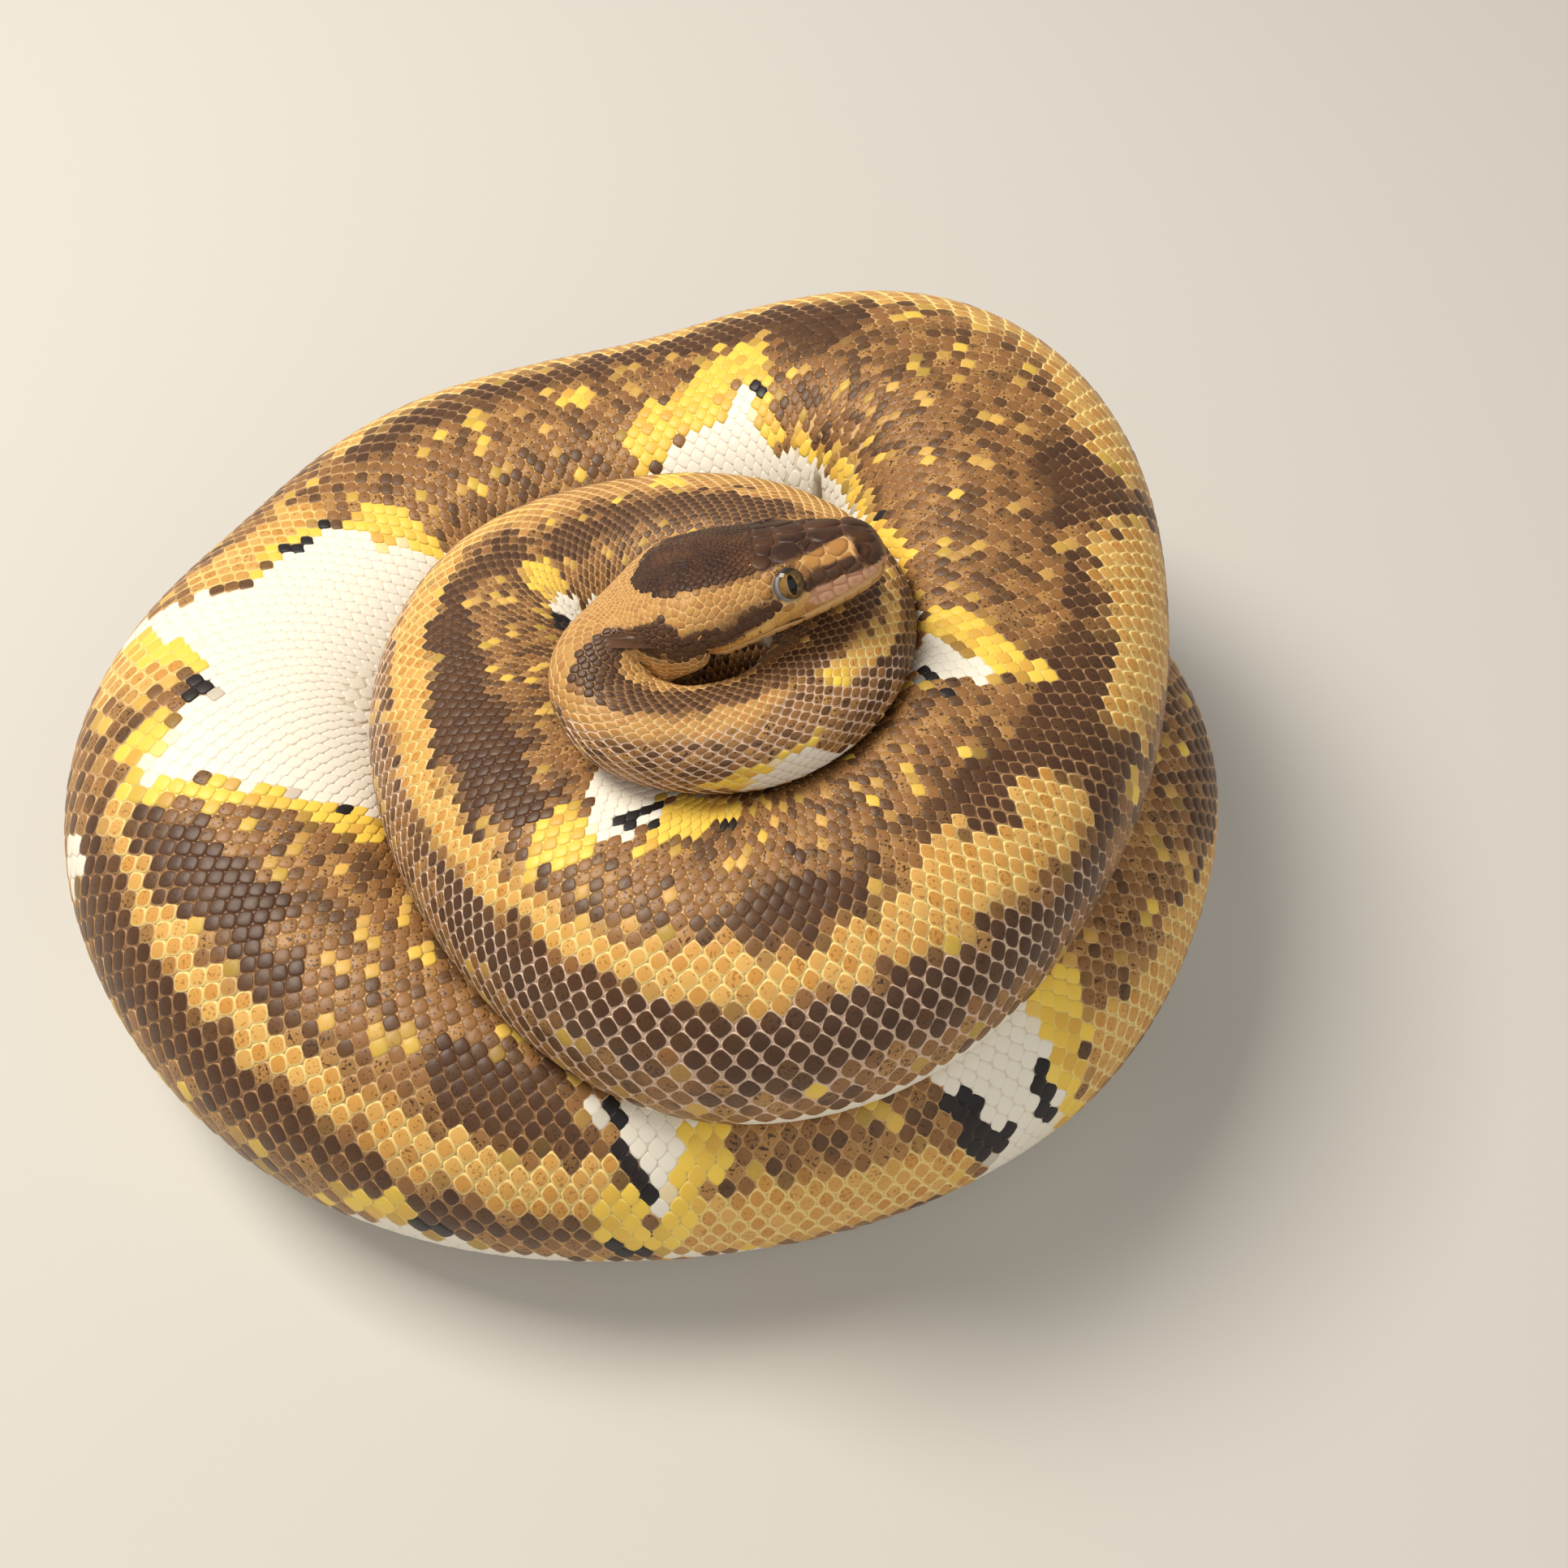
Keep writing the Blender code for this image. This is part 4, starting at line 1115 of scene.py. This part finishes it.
def plateOutline(k, seats, spots, onward, sideways, ways=96):
    # the share of skin nearer to this seat than to the others, as distances round it
    away = spots - spots[k]
    far = np.linalg.norm(away, axis=1)
    angle = np.arange(ways) * 2 * np.pi / ways
    rays = np.stack([np.cos(angle), np.sin(angle)], 1)
    reach = np.full(ways, 2.1 * seats[k, 2])

    def flattened(direction):
        flat = np.array([direction @ onward, direction @ sideways])
        return flat, max(np.linalg.norm(flat), 1e-9)

    def cut(direction, distance):
        lean = rays @ direction
        limit = np.where(lean > 1e-3, distance / np.maximum(lean, 1e-3), farOff)
        np.minimum(reach, np.maximum(limit, 0.05), out=reach)

    for other in np.flatnonzero((far > 0) & (far < 7.0)):
        flat, length = flattened(away[other])
        place = (far[other] ** 2 + seats[k, 2] ** 2 - seats[other, 2] ** 2) / (2 * far[other])
        if length > 1e-6:
            cut(flat / length, place - headPlates["gap"])
    gap, back, right = mouthGap(spots[k])
    if back < 31 and abs(gap) < 4 and abs(right) > 1:
        flat, length = flattened(-np.sign(gap) * headUp)
        cut(flat / length, (abs(gap) - headPlates["lipGap"]) * length)
    for side in (-1, 1):
        middle, looks = eyeFrame(side)
        toEye = middle + 2.0 * looks - spots[k]
        flat, length = flattened(toEye)
        if length < 7:
            over = np.clip(-(toEye @ headUp) / length, -1, 1)
            clear = eyeShape["opening"] + lidShape["edgeOut"] - lidShape["browDrop"] * over
            cut(flat / length, length - clear)
    for _ in range(3):  # rounds the corners
        reach = np.minimum(reach, (np.roll(reach, 1) + reach + np.roll(reach, -1)) / 3 + 0.004)
    chosen = np.linspace(0, ways, headPlates["around"], endpoint=False).astype(int)
    return rays[chosen] * reach[chosen, None]


def plateMade(run, turn, pit, step, outline, size):
    # the points of one plate from its rim to its middle, their runs and turns, and its bake patch
    rings, around = headPlates["rings"], headPlates["around"]
    depth = float(skinDepth(run)) * float(snoutFade(run))
    domed = headPlates["dome"] * min(size / 1.2, 1.0)
    runs = np.r_[tuple(run + step[:, 0] * share for share in rings) + ([run],)]
    turns = np.r_[tuple(turn + step[:, 1] * share for share in rings) + ([turn],)]
    shape = np.r_[np.repeat(rings, around), 0.0]
    lift = headPlates["lift"] + headPlates["edgeStep"] + domed * (1 - shape ** 2)
    lift[:around] = -headPlates["sunk"]
    lift[-1] -= headPlates["pitDepth"] * pit
    points = headMap.lifted(np.maximum(runs, 0.0), turns, lift - depth)
    if size < headPlates["plain"]:
        runs, turns = np.full_like(runs, run), np.full_like(turns, turn)
    patch = np.concatenate([outline / max(size, 0.1) * share for share in rings] + [np.zeros((1, 2))])
    return {"points": points, "runs": runs, "turns": turns, "shape": shape, "patch": patch}


def platePiece(name, lot, material):
    each = len(headPlates["rings"]) * headPlates["around"] + 1

    def joined(key):
        return np.concatenate([plate[key] for plate in lot])

    fields = markFields(marksAt(joined("runs"), joined("turns"), headPlates["crisp"]))
    rims = [headPlates["largeRim" if plate["size"] > headPlates["plain"] else "smallRim"] for plate in lot]
    dice = np.repeat([plate["dice"] for plate in lot], each, 0)
    rim = np.repeat(rims, each)[:, None]
    fields["scaleForm"] = np.concatenate([joined("shape")[:, None], dice, rim], 1)
    roots = flatUnwrap(*(np.array([plate[key] for plate in lot]) for key in ("run", "turn")))
    uv = roots[:, None] + headPlates["bakePatch"] * np.stack([plate["patch"] for plate in lot])
    uv = uv.reshape(-1, 2)
    faces = scaleFaces(len(headPlates["rings"]), headPlates["around"], len(lot))
    meshPiece(name, joined("points"), faces, lambda corners: uv[corners], fields, material)
    print(name, len(lot), "plates")


def headCoat(material):
    seats = plateSeats()
    run, turn = seats[:, 0], seats[:, 1]
    spots = spotsAt(run, turn)
    alongRun = (spotsAt(run + 0.4, turn) - spotsAt(run - 0.4, turn)) / 0.8
    alongTurn = (spotsAt(run, turn + 2) - spotsAt(run, turn - 2)) / 4.0
    normals = unit(headMap.read(headMap.normals, run, turn))
    dice = np.random.default_rng(31).random((len(seats), 3))
    lots = {"head_plates": [], "jaw_plates": []}
    for k in np.flatnonzero(run <= headPlates["ends"]):
        onward = unit(alongRun[k] - (alongRun[k] @ normals[k]) * normals[k])
        sideways = np.cross(normals[k], onward)
        outline = plateOutline(k, seats, spots, onward, sideways)
        size = np.sqrt((outline ** 2).sum(1).mean())
        if size < headPlates["least"]:
            continue
        stretch = np.array([[alongRun[k] @ onward, alongTurn[k] @ onward],
                            [alongRun[k] @ sideways, alongTurn[k] @ sideways]])
        step = outline @ np.linalg.inv(stretch).T
        plate = plateMade(run[k], turn[k], seats[k, 3], step, outline, size)
        plate.update({"dice": dice[k, :2], "run": run[k], "turn": turn[k], "size": size})
        below = mouthGap(spots[k])[0] < 0 and abs(turn[k]) > 100
        lots["jaw_plates" if below else "head_plates"].append(plate)
    for name, lot in lots.items():
        platePiece(name, lot, material)


# the eyes
def eyePiece(label, side, material, rings=30, around=48):
    middle, looks = eyeFrame(side)
    onward = unit(headAhead - (headAhead @ looks) * looks)
    upward = unit(headUp - (headUp @ looks) * looks - (headUp @ onward) * onward)
    lat = np.linspace(0, np.pi, rings + 1)[1:-1]
    lon = np.arange(around) * 2 * np.pi / around
    ball = np.stack([np.outer(np.sin(lat), np.cos(lon)), np.outer(np.sin(lat), np.sin(lon)),
                     np.outer(np.cos(lat), np.ones(around))], -1).reshape(-1, 3)
    ball = np.vstack([ball, (0, 0, 1), (0, 0, -1)])
    points = middle + eyeShape["radius"] * (ball @ np.stack([onward, upward, looks]))
    last = (rings - 2) * around
    faces = [wallFaces(rings - 1, around)[:, ::-1], fanFaces(0, around, len(ball) - 2),
             fanFaces(last, around, len(ball) - 1)[:, ::-1]]
    if side < 0:
        faces = [table[:, ::-1] for table in faces]
    view = np.concatenate([ball * 0.5 + 0.5, np.ones((len(ball), 1))], 1)
    uv = ball[:, :2] * 0.23 + np.where(ball[:, 2:] > 0, (0.25, 0.5), (0.75, 0.5))
    name, fields = f"eye_{label}_ball", {"eyeView": view}
    piece = meshPiece(name, points, faces, lambda corners: uv[corners], fields, material)
    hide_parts(f"eye_{label}")


# the finishes
class Wire:
    # a shader socket that can be added, multiplied and compared
    def __init__(self, finish, socket):
        self.finish, self.socket = finish, socket

    def worked(self, operation, *values):
        return self.finish.node("Math", {"operation": operation}, dict(enumerate(values)))

    def __add__(self, other):
        return self.worked("ADD", self, other)

    def __radd__(self, other):
        return self.worked("ADD", other, self)

    def __sub__(self, other):
        return self.worked("SUBTRACT", self, other)

    def __rsub__(self, other):
        return self.worked("SUBTRACT", other, self)

    def __mul__(self, other):
        return self.worked("MULTIPLY", self, other)

    def __rmul__(self, other):
        return self.worked("MULTIPLY", other, self)

    def __truediv__(self, other):
        return self.worked("DIVIDE", self, other)

    def __pow__(self, other):
        return self.worked("POWER", self, other)

    def least(self, other):
        return self.worked("MINIMUM", self, other)

    def size(self):
        return self.worked("ABSOLUTE", self)

    def ramp(self, low, high):
        # 0 at low, 1 at high, eased between
        return self.finish.node("MapRange", {"interpolation_type": "SMOOTHSTEP"},
                                {"Value": self, "From Min": low, "From Max": high})


class Finish:
    # one material: its shader, and the nodes that feed it
    def __init__(self, name, **fixed):
        self.material = bpy.data.materials.new(name)
        self.material.use_nodes = True
        self.tree = self.material.node_tree
        self.shader = self.tree.nodes["Principled BSDF"]
        for socket, value in fixed.items():
            self.shader.inputs[socket.replace("_", " ")].default_value = value

    def node(self, kind, settings=None, values=None, out=0):
        made = self.tree.nodes.new("ShaderNode" + kind)
        for key, value in (settings or {}).items():
            setattr(made, key, value)
        for key, value in (values or {}).items():
            self.feed(made.inputs[key], value)
        if isinstance(out, tuple):
            return [Wire(self, made.outputs[key]) for key in out]
        return Wire(self, made.outputs[out])

    def feed(self, socket, value):
        if isinstance(value, Wire):
            self.tree.links.new(value.socket, socket)
        else:
            socket.default_value = value

    def parts(self, field):
        # the numbers of a painted field, one wire each
        colour, last = self.node("Attribute", {"attribute_name": field}, out=("Color", "Alpha"))
        return self.node("SeparateColor", {}, {0: colour}, out=(0, 1, 2)) + [last]

    def mix(self, share, first, second):
        return self.node("Mix", {"data_type": "RGBA"}, {0: share, 6: first, 7: second}, out=2)

    def noise(self, scale, detail=2.0):
        place = self.node("TexCoord", out=3)
        return self.node("TexNoise", {}, {"Vector": place, "Scale": scale, "Detail": detail})

    def wear(self, **wires):
        for socket, value in wires.items():
            self.feed(self.shader.inputs[socket.replace("_", " ")], value)

    def relief(self, height, strength, distance):
        bump = self.node("Bump", {}, {"Height": height, "Strength": strength, "Distance": distance})
        self.feed(self.shader.inputs["Normal"], bump)


def tone(red, green, blue):
    # a display colour, 0 to 255, as light
    share = np.array([red, green, blue]) / 255.0
    return (*np.where(share <= 0.04045, share / 12.92, ((share + 0.055) / 1.055) ** 2.4), 1.0)


coatTones = {
    "brown": tone(148, 104, 60), "brownDeep": tone(98, 68, 42), "brownRim": tone(216, 176, 124),
    "brownWarm": tone(182, 136, 78), "brownDot": tone(58, 38, 26),
    "fleck": tone(224, 178, 96), "fleckRim": tone(246, 216, 134),
    "gold": tone(206, 146, 66), "goldPale": tone(232, 188, 108), "goldRim": tone(248, 220, 144),
    "goldDot": tone(142, 88, 38),
    "yellow": tone(248, 210, 84), "yellowRim": tone(250, 224, 126),
    "white": tone(242, 235, 219), "whiteRim": tone(226, 213, 191),
    "dark": tone(76, 50, 34), "darkRim": tone(176, 136, 96), "darkSeam": tone(110, 76, 54),
    "black": tone(32, 28, 30), "blackRim": tone(60, 54, 52),
    "tan": tone(178, 124, 66), "tanRim": tone(238, 200, 138),
    "pink": tone(218, 168, 132), "pinkRim": tone(190, 136, 104),
    "crown": tone(46, 26, 21), "crownWarm": tone(96, 62, 36), "crownRim": tone(108, 74, 54),
    "paleRim": tone(236, 206, 180),
}
coatFeel = {
    "grain": 900.0, "speckle": 1700.0, "cloud": 110.0, "roughness": 0.34, "roughnessSwing": 0.2,
    "relief": 0.25, "reliefDepth": 0.0001, "dull": 0.10,
    # where the rim of a scale starts and ends, as a share of its outline, and how strong the painted shade
    # is on the skin that the scales cover
    "rimFrom": 0.93, "rimTo": 1.09, "rimWaver": 0.14, "headNet": 0.45, "netPaintedShade": 0.6,
    "dotsFrom": 0.66, "dotsTo": 0.72,
}


def coatFinish(name, net):
    # net is true for the skin between the scales, which has their rim colours, darkened by painted shade
    # where the scales cover it
    finish = Finish(name, Roughness=0.4, Coat_Weight=0.06, Coat_Roughness=0.2, Specular_IOR_Level=0.26)
    tones, feel = coatTones, coatFeel
    gold, yellow, white, _ = finish.parts("marksA")
    dark, black, tan, pink = finish.parts("marksB")
    crown, pale, fleck, _ = finish.parts("marksC")
    outward, diceA, diceB, bare = finish.parts("scaleForm")
    grain = finish.noise(feel["grain"], 3.0)
    speckle = finish.noise(feel["speckle"], 1.0)
    cloud = finish.noise(feel["cloud"])
    onPlates = 1.0 - bare.ramp(0.32, 0.44)  # low where the rims show, as on the neck
    if net:
        rim = 1.0 - onPlates * (crown + tan).least(1.0) * feel["headNet"]
    else:
        bright = (gold + tan).least(1.0)
        edgeAt = outward + bare * 0.25 + bright * bare * 0.18 - white * 0.08
        rim = (edgeAt + (grain - 0.5) * feel["rimWaver"]).ramp(feel["rimFrom"], feel["rimTo"])
    dots = (speckle + diceB * 0.10).ramp(feel["dotsFrom"], feel["dotsTo"]) * (1.0 - outward.ramp(0.7, 0.9))
    warm = (diceB * 1.2 + cloud * 0.7 - 1.05).ramp(0.0, 0.35)
    deep = (diceA * 0.9 + cloud * 1.2 - 0.95).ramp(0.0, 0.5)
    brownBody = finish.mix(warm * 0.85, tones["brown"], tones["brownWarm"])
    brownBody = finish.mix(deep, brownBody, tones["brownDeep"])
    brownBody = finish.mix(dots * 0.9, brownBody, tones["brownDot"])
    goldBody = finish.mix(diceA * 0.7, tones["gold"], tones["goldPale"])
    goldBody = finish.mix(dots * 0.6, goldBody, tones["goldDot"])
    tanBody = finish.mix(diceA * 0.35, tones["tan"], tones["goldPale"])
    darkBody = finish.mix((deep * 0.5 + diceB * 0.4) * 0.9, tones["dark"], tones["brownDeep"])
    darkBody = finish.mix(dots * 0.7, darkBody, tones["brownDot"])
    crownBody = finish.mix(cloud.ramp(0.42, 0.66) * 0.75 + diceA * 0.12, tones["crown"], tones["crownWarm"])
    # each marking over the ones before it: how much of it, its tone inside a scale and at the rim
    steps = (
        (fleck, finish.mix(diceA, tones["fleck"], tones["yellow"]), tones["fleckRim"]),
        (tan, tanBody, tones["tanRim"]),
        (gold, goldBody, tones["goldRim"]),
        (dark, darkBody, finish.mix(onPlates, tones["darkRim"], tones["darkSeam"])),
        (crown, crownBody, tones["crownRim"]),
        (pink, tones["pink"], tones["pinkRim"]),
        (pale, None, tones["paleRim"]),
        (white, tones["white"], tones["whiteRim"]),
        (yellow, finish.mix(diceA ** 3.0 * 0.7, tones["yellow"], tones["gold"]), tones["yellowRim"]),
        (black, tones["black"], tones["blackRim"]),
    )
    body, edge = brownBody, tones["brownRim"]
    for share, centre, rimTone in steps:
        if centre is not None:
            body = finish.mix(share, body, centre)
        edge = finish.mix(share, edge, rimTone)
    colour = finish.mix(rim, body, edge)
    if net:
        # painted shade: where the scales cover the skin, it is darkened towards deep brown as if in their
        # shadow
        shadeUnderScales = (1.0 - bare.ramp(0.2, 0.9)) * (1.0 - white) * (1.0 - crown) * (1.0 - onPlates)
        colour = finish.mix(shadeUnderScales * feel["netPaintedShade"], colour, tones["brownDeep"])
    dull = (grain * 0.5 + cloud * 0.5).ramp(0.3, 0.7) * feel["dull"] * (1.0 - white) * (1.0 - yellow * 0.6)
    colour = finish.mix(dull, colour, tones["brownDeep"])
    finish.wear(Base_Color=colour, Roughness=feel["roughness"] + feel["roughnessSwing"] * grain)
    finish.relief(grain, feel["relief"], feel["reliefDepth"])
    return finish.material


eyeLook = {
    "iris": tone(150, 116, 62), "irisEdge": tone(92, 72, 42), "irisFleck": tone(70, 54, 34),
    # brow is painted shadow: the shade the brow casts over the top of the ball
    "rear": tone(146, 150, 160), "ring": tone(44, 36, 32), "brow": tone(34, 26, 22), "pupil": tone(6, 5, 5),
    # the slit of the pupil: how far forward, half width and half height, as shares of the ball
    "forward": 0.17, "halfWide": 0.23, "halfHigh": 0.56, "rearForward": 0.26,
}


def eyeFinish():
    finish = Finish("wet_eye", Roughness=0.08, Coat_Weight=0.25, Coat_Roughness=0.02, Specular_IOR_Level=0.2)
    onward, over, _, _ = finish.parts("eyeView")
    x, y = onward * 2.0 - 1.0, over * 2.0 - 1.0
    off = (x * x + y * y) ** 0.5
    across, along = (x - eyeLook["forward"]).size() / eyeLook["halfWide"], y.size() / eyeLook["halfHigh"]
    slit = (across ** 2.0 + along ** 2.0).ramp(1.12, 0.88)
    grain = finish.noise(1500.0, 3.0)
    ball = finish.mix((grain - 0.5 + off).ramp(0.30, 0.75), eyeLook["iris"], eyeLook["irisEdge"])
    ball = finish.mix(grain.ramp(0.58, 0.66) * 0.5, ball, eyeLook["irisFleck"])
    back = x - eyeLook["rearForward"]
    rear = ((back * back + y * y) ** 0.5 + (grain - 0.5) * 0.05).ramp(0.80, 0.88)
    ball = finish.mix(rear, ball, eyeLook["rear"])
    ball = finish.mix(off.ramp(0.84, 0.92), ball, eyeLook["ring"])
    # painted shadow of the brow: the top of the ball darkened towards the brow tone
    ball = finish.mix((y + (grain - 0.5) * 0.2).ramp(0.56, 0.74) * 0.85, ball, eyeLook["brow"])
    finish.wear(Base_Color=finish.mix(slit, ball, eyeLook["pupil"]))
    return finish.material


scalesFinish = coatFinish("glossy_scales", False)
netFinish = coatFinish("skin_between_scales", True)
print("finishes made")
bodySkin(netFinish)
trunkScales(scalesFinish)
bellyScutes(scalesFinish)
headCoat(scalesFinish)
eyeMaterial = eyeFinish()
eyePiece("left", -1, eyeMaterial)
eyePiece("right", 1, eyeMaterial)
print("animal made")

# floor, light and camera
studio = {
    # the camera: what it looks at, how far off, how high in degrees, and how wide it sees
    "aim": (26.3, 4.5, 20.0), "distance": 400.0, "above": 55.0, "fieldOfView": 43.85,
    # each lamp: its place in metres, power, size and colour
    "key": ((-0.55, 0.25, 1.05), 14.6, 0.5, (1.0, 0.94, 0.84)),
    "fill": ((0.5, -0.9, 0.8), 4.4, 1.4, (1.0, 0.97, 0.93)),
    "sky": (1.0, 0.97, 0.93, 1.0), "skyStrength": 0.35,
    "floorReach": 4.0, "floorTone": tone(206, 203, 197), "floorShade": tone(198, 194, 187),
}


def floorPiece():
    mesh = bpy.data.meshes.new("floor")
    reach = studio["floorReach"]
    corners = [(-reach, -reach, 0), (reach, -reach, 0), (reach, reach, 0), (-reach, reach, 0)]
    mesh.from_pydata(corners, [], [(0, 1, 2, 3)])
    floor = bpy.data.objects.new("floor", mesh)
    bpy.context.scene.collection.objects.link(floor)
    finish = Finish("pale_floor", Roughness=0.75)
    cloud = finish.noise(3.0)
    finish.wear(Base_Color=finish.mix(cloud * 0.2, studio["floorTone"], studio["floorShade"]))
    mesh.materials.append(finish.material)


def lamp(name):
    place, power, size, warmth = studio[name]
    light = bpy.data.lights.new(name, "AREA")
    light.energy, light.size, light.color = power, size, warmth
    holder = bpy.data.objects.new(name, light)
    holder.location = place
    aim = np.array(studio["aim"]) * mm - np.array(place)
    flat = np.hypot(aim[0], aim[1])
    holder.rotation_euler = (np.arctan2(flat, -aim[2]), 0.0, np.arctan2(-aim[0], aim[1]))
    bpy.context.scene.collection.objects.link(holder)


def cameraPiece():
    lens = bpy.data.cameras.new("camera")
    lens.sensor_width = 36.0
    lens.lens = 18.0 / np.tan(np.radians(studio["fieldOfView"] / 2))
    lens.clip_start = 0.01
    holder = bpy.data.objects.new("camera", lens)
    above = np.radians(studio["above"])
    away = studio["distance"] * np.array([0.0, -np.cos(above), np.sin(above)])
    holder.location = (np.array(studio["aim"]) + away) * mm
    holder.rotation_euler = (np.pi / 2 - above, 0.0, 0.0)
    bpy.context.scene.collection.objects.link(holder)
    bpy.context.scene.camera = holder


def skyLight():
    bpy.context.scene.view_settings.view_transform = "Standard"
    world = bpy.data.worlds.new("studio")
    bpy.context.scene.world = world
    world.use_nodes = True
    sky = world.node_tree.nodes["Background"]
    sky.inputs["Color"].default_value = studio["sky"]
    sky.inputs["Strength"].default_value = studio["skyStrength"]


floorPiece()
lamp("key")
lamp("fill")
skyLight()
cameraPiece()
print("floor, light and camera set")
